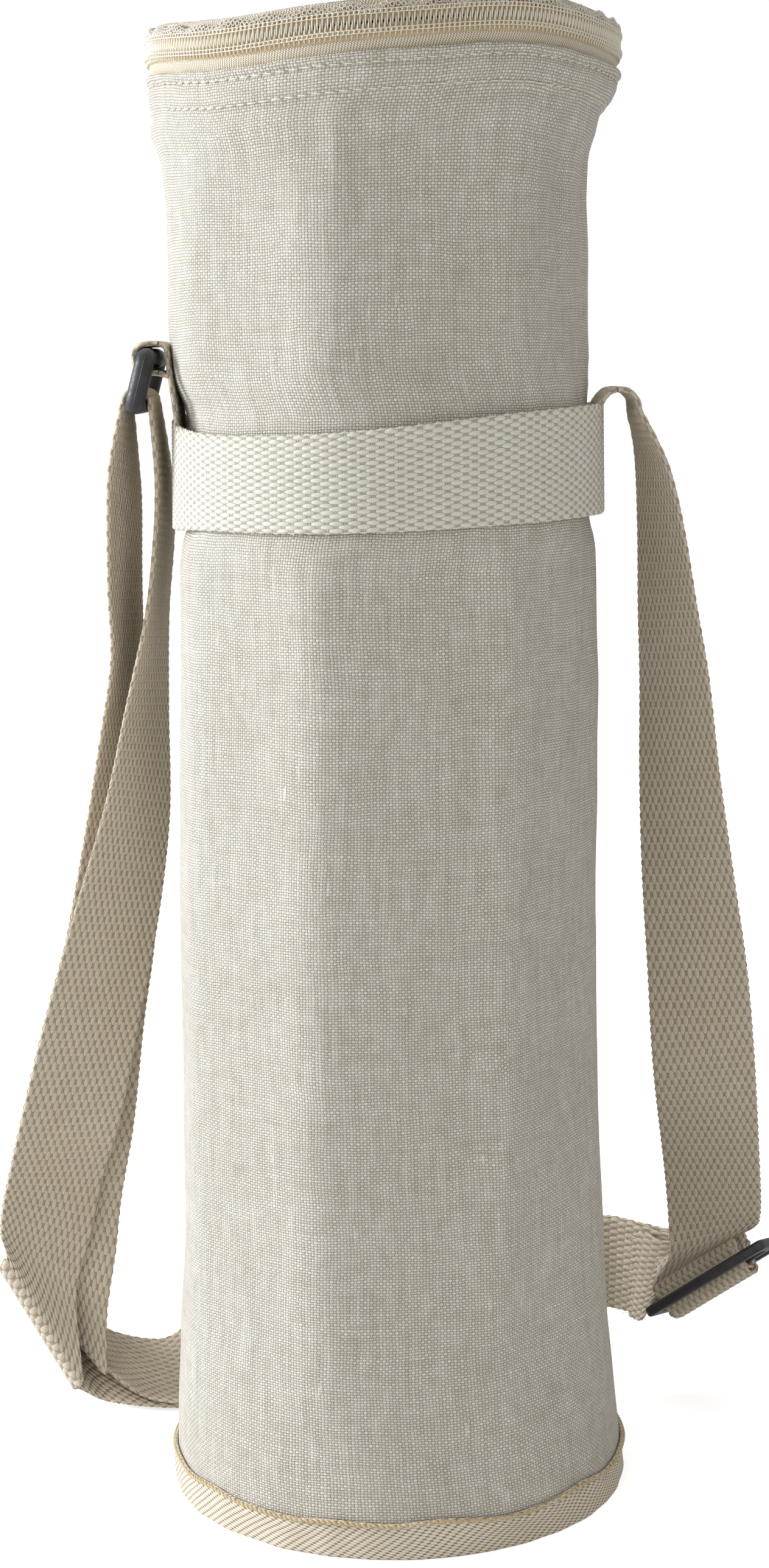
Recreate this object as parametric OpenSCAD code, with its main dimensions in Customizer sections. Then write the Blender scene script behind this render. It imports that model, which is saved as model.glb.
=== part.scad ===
/* [Bag] */
// Radius of the canvas tube at mid height
body_r = 48.5; // [44:0.5:56]
// Height of the zip's middle line above the floor
zip_z = 333.6; // [320:0.2:370]
// Thickness of the outer canvas
canvas_t = 0.9; // [0.6:0.1:1.2]
// Thickness of the insulating foam
foam_t = 4; // [3:0.5:6]
// Thickness of the foil lining
lining_t = 0.4; // [0.3:0.1:0.8]
// Thickness of the stiff board in the base
board_t = 1.6; // [1:0.2:3]
// Extra thickness of the folded canvas hem under the zip
hem_fold_t = 0.5; // [0.3:0.1:0.8]
// Height of the folded canvas hem
hem_h = 8; // [6:0.5:12]
// Zip tape that shows between the hem and the coil
tape_show = 2.6; // [2:0.2:5]
// Width of the seam strip at the back
seam_w = 9; // [6:0.5:14]
// Thickness of the seam strip at the back
seam_t = 0.7; // [0.5:0.1:1.2]

/* [Bottom binding] */
// Height of the binding tape on the wall
binding_h = 7.5; // [6:0.5:12]
// Thickness of the binding tape
binding_t = 0.9; // [0.7:0.1:1.2]
// Width of the binding tape under the base
binding_under = 6.8; // [5:0.2:10]
// Thickness of the folded edge above the binding
fold_d = 1.3; // [1:0.1:2]

/* [Zip] */
// Height of one half of the nylon coil
coil_h = 3.1; // [2.6:0.1:3.6]
// Thickness of the nylon coil
coil_t = 2; // [1.6:0.1:2.4]
// Gap between the two halves of the coil
coil_gap = 0.8; // [0.7:0.1:1.2]
// Thickness of the zip tape
tape_t = 0.6; // [0.5:0.1:0.9]
// Half of the arc at the back that has no coil
closed_half_arc = 55; // [45:1:70]
// Length of the slider along the zip
slider_len = 9; // [7:0.5:11]
// Thickness of the slider's plates
slider_plate_t = 0.9; // [0.7:0.1:1.2]
// Reach of the pull from its pin
pull_reach = 19; // [14:0.5:19]
// Width of the pull
pull_w = 5.2; // [4:0.2:7]
// Thickness of the pull
pull_t = 1; // [0.8:0.1:1.4]

/* [Lid] */
// Thickness of the lid's foam
lid_foam_t = 3; // [2:0.5:3]
// Diameter of the rippled seam edge round the lid
lid_edge_d = 2; // [1.6:0.1:2.4]

/* [Webbing] */
// Width of the webbing
web_w = 25; // [20:1:25]
// Thickness of the webbing
web_t = 1.3; // [1:0.1:1.4]
// Height of the band's lower edge above the floor
band_z = 229.5; // [190:0.5:229.5]
// Slack round anything that the webbing is folded over
web_slack = 0.3; // [0.2:0.05:0.5]

/* [Strap hardware] */
// Length of the strap ring
ring_len = 37; // [34:0.5:38]
// Height of the strap ring
ring_h = 15; // [14:0.5:16]
// Diameter of the strap ring's bars
ring_t = 4.4; // [3.6:0.1:4.6]
// Lean of the strap ring towards the bag
ring_lean = 15; // [8:1:18]
// Room in the glide's slots beyond each edge of the webbing
glide_room = 3.1; // [2.8:0.1:3.6]
// Length of the glide's ends, past its slots
glide_end = 3.1; // [2.6:0.1:3.6]
// Thickness of the strap adjuster
glide_t = 2.6; // [2.2:0.1:3]
// Width of the adjuster's outer bars
glide_bar = 3.6; // [3:0.2:4.2]
// Width of the adjuster's middle bar
glide_mid = 3.2; // [2.8:0.2:3.4]
// Width of each slot in the adjuster
glide_slot = 4.4; // [4.2:0.1:5]

/* [Hidden] */
$fn = 120;

// Small gap between layers that are sewn together
ply_gap = 0.1;
// Running gap beside anything that moves
run_gap = 0.3;
// How far a cut runs past the face that it leaves
overrun = 1;

// Canvas radius along the height, as shares of zip_z and body_r
profile_shares = [[0, 1.099], [0.024, 1.099], [0.06, 1.085], [0.096, 1.070], [0.15, 1.049],
    [0.204, 1.033], [0.32, 1.012], [0.465, 1.006], [0.6235, 1.0], [0.671, 0.996],
    [0.779, 0.990], [0.84, 0.990], [0.90, 0.992], [0.929, 1.006], [0.953, 1.031],
    [0.971, 1.060], [0.982, 1.072], [1.0, 1.074]];
// How far the band draws the tube in, and over what height that fades out
waist_dip = 0.9;
waist_fade = 5;

band_top = band_z + web_w;
function share_at(s) = lookup(s, profile_shares);
function waist(z) = waist_dip
    * lookup(z, [[band_z - waist_fade, 0], [band_z, 1], [band_top, 1], [band_top + waist_fade, 0]]);
function canvas_r(z) = body_r * share_at(z / zip_z) - waist(z);
waist_stops = [band_z - waist_fade, band_z, band_top, band_top + waist_fade];
function stops_below(limit) = [for (p = profile_shares) if (p[0] * zip_z < limit) p[0] * zip_z];
function stops_above(limit) = [for (p = profile_shares) if (p[0] * zip_z > limit) p[0] * zip_z];
all_stops = concat(stops_below(waist_stops[0]), waist_stops, stops_above(waist_stops[3]));
function stops_between(lo, hi) = concat([lo], [for (z = all_stops) if (z > lo && z < hi) z], [hi]);
function reversed(list) = [for (i = [len(list) - 1 : -1 : 0]) list[i]];
// Section of one layer of the wall, from depth d0 to depth d1 under the canvas face
function layer(lo, hi, d0, d1) = concat(
    [for (z = stops_between(lo, hi)) [canvas_r(z) - d0, z]],
    [for (z = reversed(stops_between(lo, hi))) [canvas_r(z) - d1, z]]);

// Heights of the rim
coil_low = zip_z - coil_gap / 2 - coil_h;
coil_top = zip_z + coil_gap / 2 + coil_h;
hem_top = coil_low - tape_show;
tape_drop = 10;
tape_low = hem_top - tape_drop;
mouth_binding_t = 0.6;
foam_top = hem_top + mouth_binding_t;
mouth_top = foam_top + mouth_binding_t;

// Depths of the layers under the canvas face
foam_d = canvas_t + ply_gap;
tape_d = canvas_t + ply_gap;
tape_room = tape_t + ply_gap;
lining_d = foam_d + foam_t + ply_gap;
inner_d = lining_d + lining_t;

// Heights of the base
base_low = binding_t + ply_gap / 2;
board_z = canvas_t + ply_gap;
base_foam_z = board_z + board_t + ply_gap;
base_lining_z = base_foam_z + foam_t + ply_gap;
floor_z = base_lining_z + lining_t;
base_edge_r = canvas_r(0) + binding_t + ply_gap;
binding_in_r = base_edge_r - binding_under - binding_t;
base_inner_r = canvas_r(0) - foam_d - foam_t - ply_gap;

// Radii of the zip
tape_out_r = canvas_r(zip_z) - tape_d;
tape_in_r = tape_out_r - tape_t;
coil_in_r = tape_out_r + ply_gap;
coil_out_r = coil_in_r + coil_t;
coil_round = 0.5;
end_cover = 4;
coil_end = 90 - closed_half_arc + end_cover;
coil_sweep = 360 - 2 * closed_half_arc + 2 * end_cover;
slider_half_arc = slider_len / 2 / coil_out_r * 180 / PI;
patch_start = 90 - closed_half_arc + slider_half_arc + 1;
patch_sweep = 2 * (90 - patch_start);
patch_t = 0.8;
hinge_gap = 0.6;

// Lid
lid_under_z = zip_z + coil_gap / 2 + ply_gap;
lid_foam_z = lid_under_z + lining_t + ply_gap;
slider_top = coil_top + run_gap;
lid_turn_z = slider_top + run_gap;
lid_disc_z = lid_turn_z + tape_t + ply_gap;
slider_in_r = tape_in_r - run_gap;
lid_core_r = slider_in_r - slider_plate_t - 2 * run_gap;
lid_turn_w = 7;
lid_edge_r = coil_out_r - lid_edge_d / 2;
lid_canvas_r = lid_edge_r - lid_edge_d / 2 - ply_gap;
lid_edge_z = coil_top + run_gap + lid_edge_d / 2;

// Slider
slider_low = coil_low - run_gap;
slider_out_r = coil_out_r + run_gap;
slider_lip_t = 0.7;
post_h = coil_gap - 0.3;
post_len = 2.2;
bail_t = 0.9;
bail_w = 2.4;
bail_gap = pull_t + 1;
bail_span = 4.4;
bail_reach = norm([bail_span / 2 + bail_t, bail_gap / 2 + bail_t]);
pull_eye = bail_reach + run_gap;
pull_end_r = 1.6;
pull_pin_r = slider_out_r + slider_plate_t + bail_gap / 2;

// Webbing
web_half = web_w / 2;
// Height of the line that the strap swings about
pivot_z = 261;
canvas_waist_r = max([for (z = [band_z : web_t : pivot_z]) canvas_r(z)]);
root_x = canvas_waist_r + web_slack + web_t / 2;
band_in_r = canvas_waist_r + ply_gap;
band_bulge_x = root_x + web_t / 2 + ply_gap;
band_arc_n = 144;
bulge_arc = 16;
bulge_fade = 12;
root_tuck = 3;

cut_right_x = root_x + 2.7;
cut_left_x = root_x + 2.2;
cut_gap = 0.3;

function unit(v) = v / norm(v);
// Width direction of the webbing, from its turn in plan and its tilt
function across(turn, tilt) = [cos(tilt) * cos(turn), cos(tilt) * sin(turn), sin(tilt)];
// One station of a webbing route: place, then width direction
function stop(p, turn, tilt) = concat(p, across(turn, tilt));
function stop_dir(p, dir) = concat(p, dir);
function place_of(s) = [s[0], s[1], s[2]];
function width_of(s) = [s[3], s[4], s[5]];
function curve(a, b, c, d, t) = 0.5 * (2 * b + (c - a) * t + (2 * a - 5 * b + 4 * c - d) * t * t
    + (3 * b - a - 3 * c + d) * t * t * t);
function pick(list, i) = list[max(0, min(len(list) - 1, i))];
function smooth_route(list, n) = concat(
    [for (i = [0 : len(list) - 2]) for (k = [0 : n - 1])
        curve(pick(list, i - 1), list[i], list[i + 1], pick(list, i + 2), k / n)],
    [list[len(list) - 1]]);
function route_dir(list, i) = unit(place_of(pick(list, i + 1)) - place_of(pick(list, i - 1)));
function ring_corners(list, i, w, t) =
    let (c = place_of(list[i]), a = width_of(list[i]), f = unit(cross(route_dir(list, i), a)))
    [c - a * w / 2 - f * t / 2, c + a * w / 2 - f * t / 2,
     c + a * w / 2 + f * t / 2, c - a * w / 2 + f * t / 2];

// Flat webbing swept along a route
module webbing(list, w, t) {
    n = len(list);
    points = [for (i = [0 : n - 1]) for (p = ring_corners(list, i, w, t)) p];
    sides = [for (i = [0 : n - 2]) for (k = [0 : 3])
        let (a = 4 * i + k, b = 4 * i + (k + 1) % 4) each [[a, a + 4, b], [b, a + 4, b + 4]]];
    ends = [[0, 1, 2], [0, 2, 3],
        [4 * n - 1, 4 * n - 2, 4 * n - 3], [4 * n - 1, 4 * n - 3, 4 * n - 4]];
    polyhedron(points = points, faces = concat(sides, ends), convexity = 10);
}

// Strap ring: its lower bar carries the strap, its upper bar hangs in the tab
ring_pitch = ring_h - ring_t;
ring_half = (ring_len - ring_t) / 2;
ring_top = [-1.105 * body_r, 0, 1.020 * pivot_z];
ring_down = [-sin(ring_lean), 0, -cos(ring_lean)];
ring_low = ring_top + ring_down * ring_pitch;
ring_fold_r = ring_t / 2 + web_slack + web_t / 2;

// Strap adjuster: middle of its centre bar, and its three directions
glide_turn = [-15, -36, -20];
function turned(v, a) = [v[0] * cos(a) - v[1] * sin(a), v[0] * sin(a) + v[1] * cos(a), v[2]];
glide_along = turned([cos(glide_turn[1]), 0, -sin(glide_turn[1])], glide_turn[2]);
glide_over = turned([sin(glide_turn[0]) * sin(glide_turn[1]), cos(glide_turn[0]),
    sin(glide_turn[0]) * cos(glide_turn[1])], glide_turn[2]);
glide_up = cross(glide_along, glide_over);
glide_pitch = glide_mid / 2 + glide_slot + glide_bar / 2;
glide_at = [1.699 * body_r, 0.907 * body_r, 0.1195 * pivot_z];
glide_h = 2 * glide_pitch + glide_bar;
glide_slot_len = web_w + 2 * glide_room;
glide_len = glide_slot_len + 2 * glide_end;
// How far the webbing sits off the middle of the adjuster
glide_offset = -0.84 * glide_room;
function at_glide(over, up) =
    stop_dir(glide_at + glide_along * glide_offset + glide_over * over + glide_up * up, glide_along);

// Offsets of the two layers of webbing round the adjuster's centre bar
wrap_side = glide_mid / 2 + web_slack + web_t / 2;
wrap_under = glide_t / 2 + web_slack + web_t / 2;
wrap_step = web_t + 0.9 * web_slack;

// Stations from a table: shares of body_r, body_r and pivot_z, turn and tilt of the width, and,
// where the section is drawn on the slant through a fold, how much longer it is
function slant(s) = len(s) > 5 ? s[5] : 1;
function from_shares(list) = [for (s = list)
    stop_dir([s[0] * body_r, s[1] * body_r, s[2] * pivot_z], slant(s) * across(s[3], s[4]))];

// Right run of the strap, from its arch to the adjuster:
// shares of body_r, body_r and pivot_z, then turn and tilt of the width
right_shares = [
    [1.17, 0, 0.968, -88, 0], [1.215, 0.02, 0.946, -84, 1], [1.262, 0.06, 0.915, -78, 2],
    [1.305, 0.12, 0.862, -71, 3], [1.345, 0.2, 0.795, -63, 5], [1.388, 0.27, 0.727, -55, 5],
    [1.425, 0.35, 0.636, -45, 6], [1.475, 0.41, 0.543, -33, 6], [1.53, 0.44, 0.449, -19, 4],
    [1.572, 0.47, 0.355, -8, 4], [1.635, 0.652, 0.25, -23, 6], [1.66, 0.734, 0.207, -25, 9],
    [1.668, 0.784, 0.182, -25, 14], [1.662, 0.812, 0.161, -22, 25]];
// Strap from the adjuster behind the bag to the left corner, outer layer
back_outer_shares = [
    [1.646, 1.229, 0.105, -26, 58], [1.506, 1.313, 0.098, -40, 67], [1.343, 1.399, 0.098, -44, 82],
    [1.095, 1.494, 0.1, -90, 90], [0.659, 1.455, 0.083, 90, 82], [0.206, 1.425, 0.068, 90, 76],
    [-0.232, 1.401, 0.057, 104, 66], [-0.639, 1.286, 0.046, 117, 52],
    [-0.977, 1.109, 0.031, 126, 33], [-1.139, 0.982, 0.021, 116, 19],
    [-1.263, 0.958, 0.02, 114, 17, 1.1], [-1.423, 0.969, 0.024, 118, 20, 1.18],
    [-1.593, 0.992, 0.035, 125, 28, 1.31], [-1.757, 0.97, 0.052, 139, 43, 1.41],
    [-1.866, 0.75, 0.084, -166, 62, 1.56], [-1.885, 0.691, 0.088, -166, 62, 1.56],
    [-1.871, 0.64, 0.095, -166, 62, 1.56], [-1.838, 0.619, 0.105, -166, 62, 1.56],
    [-1.859, 0.616, 0.158, -158, 44, 1.06], [-1.813, 0.641, 0.201, -157, 24],
    [-1.76, 0.652, 0.243, -157, 7], [-1.67, 0.573, 0.301, -168, 2],
    [-1.551, 0.602, 0.394, -156, 6], [-1.404, 0.612, 0.501, -142, 9],
    [-1.282, 0.598, 0.601, -125, 12], [-1.214, 0.553, 0.7, -109, 7], [-1.142, 0.421, 0.79, -97, 5],
    [-1.093, 0.299, 0.857, -95, 6], [-1.076, 0.206, 0.893, -94, 3], [-1.074, 0.124, 0.926, -93, 2]];
// Strap from the ring down and behind the bag, inner layer, to the adjuster
back_inner_shares = [
    [-1.245, 0.039, 0.935, -98, 8], [-1.26, 0.103, 0.897, -102, 8],
    [-1.291, 0.336, 0.815, -103, 4], [-1.307, 0.54, 0.744, -103, 6],
    [-1.359, 0.736, 0.665, -111, 7], [-1.396, 0.829, 0.575, -128, 8],
    [-1.452, 0.833, 0.48, -147, 7], [-1.544, 0.808, 0.385, -157, 5],
    [-1.616, 0.788, 0.289, -166, 3], [-1.693, 0.798, 0.219, -169, 10],
    [-1.718, 0.788, 0.176, -176, 19], [-1.742, 0.775, 0.131, 177, 38, 1.07],
    [-1.739, 0.79, 0.089, 171, 51, 1.25], [-1.75, 0.806, 0.083, 171, 51, 1.25],
    [-1.746, 0.835, 0.079, 171, 51, 1.25], [-1.728, 0.86, 0.078, 171, 51, 1.25],
    [-1.637, 0.921, 0.058, 149, 41, 1.2], [-1.531, 0.938, 0.043, 134, 31, 1.18],
    [-1.407, 0.922, 0.033, 122, 23, 1.11], [-1.26, 0.899, 0.029, 114, 20, 1.05],
    [-1.134, 0.913, 0.03, 116, 23], [-0.959, 1.004, 0.038, 125, 37, 0.97],
    [-0.621, 1.188, 0.05, 116, 56], [-0.23, 1.319, 0.058, 104, 68], [0.207, 1.379, 0.07, 90, 76],
    [0.661, 1.409, 0.084, 90, 82], [1.091, 1.446, 0.1, -90, 90], [1.323, 1.356, 0.098, -44, 82],
    [1.472, 1.264, 0.098, -40, 67], [1.58, 1.178, 0.11, -26, 58]];

// Outer wrap: down through the first slot, under the centre bar, up through the second
outer_side = wrap_side + wrap_step;
outer_under = wrap_under + wrap_step;
outer_wrap = [at_glide(-outer_side - 0.7 * web_t, 2.2 * glide_t), at_glide(-outer_side, glide_t / 2),
    at_glide(-outer_side, -glide_t / 2), at_glide(-outer_side * 0.8, -outer_under * 0.9),
    at_glide(0, -outer_under), at_glide(outer_side * 0.8, -outer_under * 0.9),
    at_glide(outer_side, -glide_t / 2), at_glide(outer_side, 0.75 * glide_t),
    at_glide(outer_side + 2.4 * web_t, 1.72 * glide_t)];
// Inner wrap: the sewn end, which goes the other way round the same bar
inner_wrap = [at_glide(wrap_side + 3.45 * web_t, 2.6 * glide_t), at_glide(wrap_side, 1.1 * glide_t),
    at_glide(wrap_side, 0.4 * glide_t),
    at_glide(wrap_side, -glide_t / 3), at_glide(wrap_side * 0.8, -wrap_under * 0.93),
    at_glide(0, -wrap_under), at_glide(-wrap_side * 0.8, -wrap_under * 0.93),
    at_glide(-wrap_side, -glide_t / 3), at_glide(-wrap_side, glide_t / 2),
    at_glide(-0.9 * wrap_side, 1.2 * glide_t), at_glide(-0.1 * wrap_side, 2.7 * glide_t),
    at_glide(wrap_side + 2.3 * web_t, 4.2 * glide_t)];
// Sewn tail, laid on the inner side of the strap
tail_shares = [
    [1.432, 1.206, 0.097, -40, 67], [1.301, 1.31, 0.097, -44, 82]];

// Fold over the lower bar of the strap ring, from the bag's side to the outside
fold_turns = [180, 150, 120, 90, 60, 30, 0];
ring_fold = [for (a = fold_turns) stop_dir(
    ring_low + ring_fold_r * [-cos(a), 0, sin(a)], [0, -1, 0])];

// Arch at the right, from the cut plane
arch_stops = [for (s = [[0, 0.9885], [0.030, 0.9885], [0.062, 0.986], [0.090, 0.979]])
    stop([cut_right_x + cut_gap / 2 + s[0] * body_r, 0, s[1] * pivot_z], -90, 0)];

strap_stops = concat(arch_stops, from_shares(right_shares), outer_wrap,
    from_shares(back_outer_shares), ring_fold, from_shares(back_inner_shares), inner_wrap,
    from_shares(tail_shares));

// Part of the strap that is sewn under the band
root_stops = concat(
    [for (z = [band_z + root_tuck, band_top - root_tuck, band_top]) stop([root_x, 0, z], -90, 0)],
    [for (s = [[0.12, 0.40], [0.50, 0.80]]) stop([root_x + s[0] * (cut_right_x - root_x), 0,
        band_top + s[1] * (0.9885 * pivot_z - band_top)], -90, 0)],
    [stop([cut_right_x - cut_gap / 2, 0, 0.9885 * pivot_z], -90, 0)]);

// Tab: upper and lower leaves, and the fold round the ring's upper bar
tab_fold_r = ring_t / 2 + web_slack + web_t / 2;
tab_upper_z = ring_top[2] + tab_fold_r;
tab_lower_z = ring_top[2] - tab_fold_r;
tab_root_stops = concat(
    [for (z = [band_z + root_tuck, band_top, tab_lower_z + web_t]) stop([-root_x, 0, z], 90, 0)],
    [stop([-root_x - 0.1 * web_t, 0, tab_upper_z - 2 * web_t], 90, 0),
     stop([-root_x - 0.5 * web_t, 0, tab_upper_z - 0.5 * web_t], 90, 0),
     stop([-cut_left_x + cut_gap / 2, 0, tab_upper_z], 90, 0)]);
tab_stops = concat(
    [stop([-cut_left_x - cut_gap / 2, 0, tab_upper_z], 90, 0)],
    [for (a = [90, 120, 150, 180, 210, 240, 270]) stop_dir(
        ring_top + tab_fold_r * [cos(a), 0, sin(a)], [0, 1, 0])],
    [stop([-cut_left_x - cut_gap / 2, 0, tab_lower_z - 0.2 * web_t], 90, 0)]);

canvas_color = [0.86, 0.83, 0.76];
web_color = [0.88, 0.84, 0.75];
zip_color = [0.90, 0.86, 0.74];
foam_color = [0.93, 0.93, 0.92];
foil_color = [0.74, 0.76, 0.78];
plastic_color = [0.08, 0.08, 0.09];
metal_color = [0.72, 0.70, 0.64];

module outer_canvas() {
    hem_low = hem_top - hem_h;
    color(canvas_color) rotate_extrude() union() {
        polygon(layer(base_low, hem_top, 0, canvas_t));
        polygon(layer(hem_low, hem_top, -hem_fold_t, canvas_t / 2));
    }
}

module back_seam() {
    seam_arc = seam_w / body_r * 180 / PI;
    color(canvas_color) difference() {
        rotate([0, 0, 90 - seam_arc / 2])
            rotate_extrude(angle = seam_arc)
            polygon(layer(binding_h + fold_d + ply_gap, hem_top - hem_h - ply_gap, -seam_t, 0));
        translate([0, 0, band_z - web_t]) cylinder(h = web_w + 2 * web_t, r = 2 * body_r);
    }
}

module body_foam() {
    low = base_low;
    color(foam_color) rotate_extrude() union() {
        polygon(layer(low, tape_low - ply_gap, foam_d, foam_d + foam_t));
        polygon(layer(tape_low - tape_t, foam_top, foam_d + tape_room, foam_d + foam_t));
    }
}

module body_lining() {
    color(foil_color) rotate_extrude()
        polygon(layer(base_lining_z, foam_top, lining_d, inner_d));
}

module mouth_binding() {
    r_out = canvas_r(foam_top) - foam_d - tape_room;
    r_in = canvas_r(foam_top) - inner_d;
    color(canvas_color) translate([0, 0, foam_top + ply_gap / 2]) difference() {
        cylinder(h = mouth_binding_t, r = r_out);
        translate([0, 0, -overrun]) cylinder(h = mouth_binding_t + 2 * overrun, r = r_in);
    }
}

module disc(z, h, r) {
    translate([0, 0, z]) cylinder(h = h, r = r);
}

module base_canvas() {
    color(canvas_color) disc(0, canvas_t, binding_in_r - ply_gap);
}

module base_board() {
    color([0.62, 0.60, 0.56]) disc(board_z, board_t, base_inner_r - ply_gap);
}

module base_foam() {
    color(foam_color) disc(base_foam_z, foam_t, base_inner_r - ply_gap);
}

module base_lining() {
    color(foil_color) disc(base_lining_z, lining_t, canvas_r(base_lining_z) - inner_d - ply_gap);
}

module bottom_binding() {
    wall_in = base_edge_r - binding_t;
    color(web_color) rotate_extrude() polygon([[binding_in_r, 0], [base_edge_r, 0],
        [base_edge_r, binding_h], [wall_in, binding_h], [wall_in, binding_t],
        [binding_in_r, binding_t]]);
}

module binding_fold() {
    fold_r = canvas_r(binding_h) + ply_gap + fold_d / 2;
    color(web_color) translate([0, 0, binding_h + fold_d / 2])
        rotate_extrude() translate([fold_r, 0]) circle(d = fold_d, $fn = 24);
}

module zip_tape_lower() {
    color(zip_color) rotate_extrude()
        polygon(layer(tape_low, zip_z - coil_gap / 2, tape_d, tape_d + tape_t));
}

module coil_ring(z) {
    rotate([0, 0, coil_end - coil_sweep]) rotate_extrude(angle = coil_sweep)
        polygon([[coil_in_r, z], [coil_out_r - coil_round, z], [coil_out_r, z + coil_round],
            [coil_out_r, z + coil_h - coil_round], [coil_out_r - coil_round, z + coil_h],
            [coil_in_r, z + coil_h]]);
}

module zip_coil_lower() {
    color(zip_color) coil_ring(coil_low);
}

module zip_coil_upper() {
    color(zip_color) coil_ring(zip_z + coil_gap / 2);
}

module patch_ring(lo, hi) {
    r_in = coil_in_r;
    color(canvas_color) rotate([0, 0, patch_start]) rotate_extrude(angle = patch_sweep)
        polygon([[r_in, lo], [r_in + patch_t, lo], [r_in + patch_t, hi], [r_in, hi]]);
}

module hinge_patch_lower() {
    patch_ring(hem_top + ply_gap, zip_z - hinge_gap / 2);
}

module hinge_patch_upper() {
    patch_ring(zip_z + hinge_gap / 2, coil_top);
}

// Radius of the band's inner face: drawn flat over the strap end and the tab
function bulge_share(a) = a < bulge_arc ? 1 : a > bulge_arc + bulge_fade ? 0
    : (1 + cos(180 * (a - bulge_arc) / bulge_fade)) / 2;
function side_turn(a) = min(abs(a), abs(a - 180), abs(a - 360));
function bulge_r(a) = band_bulge_x / cos(min(side_turn(a), bulge_arc));
function band_r(a) = band_in_r + bulge_share(side_turn(a)) * (bulge_r(a) - band_in_r);
function band_outline(extra) = [for (i = [0 : band_arc_n - 1]) let (a = 360 * i / band_arc_n)
    (band_r(a) + extra) * [cos(a), sin(a)]];

module webbing_band() {
    color(web_color) translate([0, 0, band_z]) linear_extrude(web_w) difference() {
        polygon(band_outline(web_t));
        polygon(band_outline(0));
    }
}

module strap_root() {
    color(web_color) webbing(smooth_route(root_stops, 3), web_w, web_t);
}

module tab_root() {
    lower_leaf = [[-root_x, tab_lower_z - 1.1 * web_t],
        [-cut_left_x + cut_gap / 2, tab_lower_z - 0.7 * web_t],
        [-cut_left_x + cut_gap / 2, tab_lower_z + 0.3 * web_t],
        [-root_x, tab_lower_z]];
    color(web_color) {
        webbing(smooth_route(tab_root_stops, 3), web_w, web_t);
        translate([0, web_half, 0]) rotate([90, 0, 0]) linear_extrude(web_w) polygon(lower_leaf);
    }
}

module lid_canvas() {
    color(canvas_color) disc(lid_disc_z, canvas_t, lid_canvas_r);
}

module lid_foam() {
    color(foam_color) disc(lid_foam_z, min(lid_foam_t, lid_turn_z - lid_foam_z - ply_gap), lid_core_r);
}

module lid_lining() {
    color(foil_color) disc(lid_under_z, lining_t, lid_core_r);
}

module lid_edge() {
    color(canvas_color) translate([0, 0, lid_edge_z]) rotate_extrude()
        translate([lid_edge_r, 0]) circle(d = lid_edge_d, $fn = 24);
}

module zip_tape_upper() {
    top = lid_turn_z + tape_t;
    color(zip_color) rotate_extrude() polygon([[tape_in_r, zip_z + coil_gap / 2],
        [tape_out_r, zip_z + coil_gap / 2], [tape_out_r, top], [tape_in_r - lid_turn_w, top],
        [tape_in_r - lid_turn_w, lid_turn_z], [tape_in_r, lid_turn_z]]);
}

// A piece of ring about the zip's own axis, centred on the slider's place
module slider_arc(r_in, r_out, lo, hi, half_arc) {
    rotate([0, 0, -half_arc]) rotate_extrude(angle = 2 * half_arc)
        polygon([[r_in, lo], [r_out, lo], [r_out, hi], [r_in, hi]]);
}

module zip_slider() {
    low_lip = slider_low - slider_lip_t;
    plate_out = slider_out_r + slider_plate_t;
    post_half = post_len / 2 / coil_out_r * 180 / PI;
    bail_out = plate_out + bail_gap;
    color(metal_color) rotate([0, 0, 90 - closed_half_arc]) {
        slider_arc(slider_out_r, plate_out, low_lip, slider_top, slider_half_arc);
        slider_arc(slider_in_r - slider_plate_t, slider_in_r, slider_low, slider_top, slider_half_arc);
        slider_arc(coil_in_r + run_gap, plate_out, low_lip, slider_low, slider_half_arc);
        rotate([0, 0, slider_half_arc - post_half]) slider_arc(slider_in_r - ply_gap,
            slider_out_r + ply_gap, zip_z - post_h / 2, zip_z + post_h / 2, post_half);
        translate([0, 0, zip_z]) for (side = [-1, 1])
            translate([plate_out - ply_gap, side * (bail_span / 2 + bail_t / 2) - bail_t / 2, -bail_w / 2])
            cube([bail_gap + bail_t + ply_gap, bail_t, bail_w]);
        translate([bail_out, -bail_span / 2 - bail_t, zip_z - bail_w / 2])
            cube([bail_t, bail_span + 2 * bail_t, bail_w]);
    }
}

module zip_pull() {
    color(metal_color) rotate([0, 0, 90 - closed_half_arc])
        translate([pull_pin_r, 0, zip_z]) rotate([90, 0, 90]) translate([0, 0, -pull_t / 2])
        linear_extrude(pull_t) difference() {
            hull() {
                square([pull_t, pull_w], center = true);
                translate([pull_reach - pull_end_r, 0]) circle(r = pull_end_r, $fn = 32);
            }
            translate([pull_t / 2, -bail_w / 2 - run_gap])
                square([pull_eye - pull_t / 2, bail_w + 2 * run_gap]);
        }
}

module shoulder_strap() {
    color(web_color) webbing(smooth_route(strap_stops, 3), web_w, web_t);
}

module ring_tab() {
    color(web_color) webbing(smooth_route(tab_stops, 2), web_w, web_t);
}

// Flat plate with round corners, made of true cylinders
module round_plate(l, w, h, r) {
    for (x = [-1, 1]) for (y = [-1, 1])
        translate([x * (l / 2 - r), y * (w / 2 - r), 0]) cylinder(h = h, r = r, $fn = 32);
    translate([-l / 2 + r, -w / 2, 0]) cube([l - 2 * r, w, h]);
    translate([-l / 2, -w / 2 + r, 0]) cube([l, w - 2 * r, h]);
}

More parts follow.
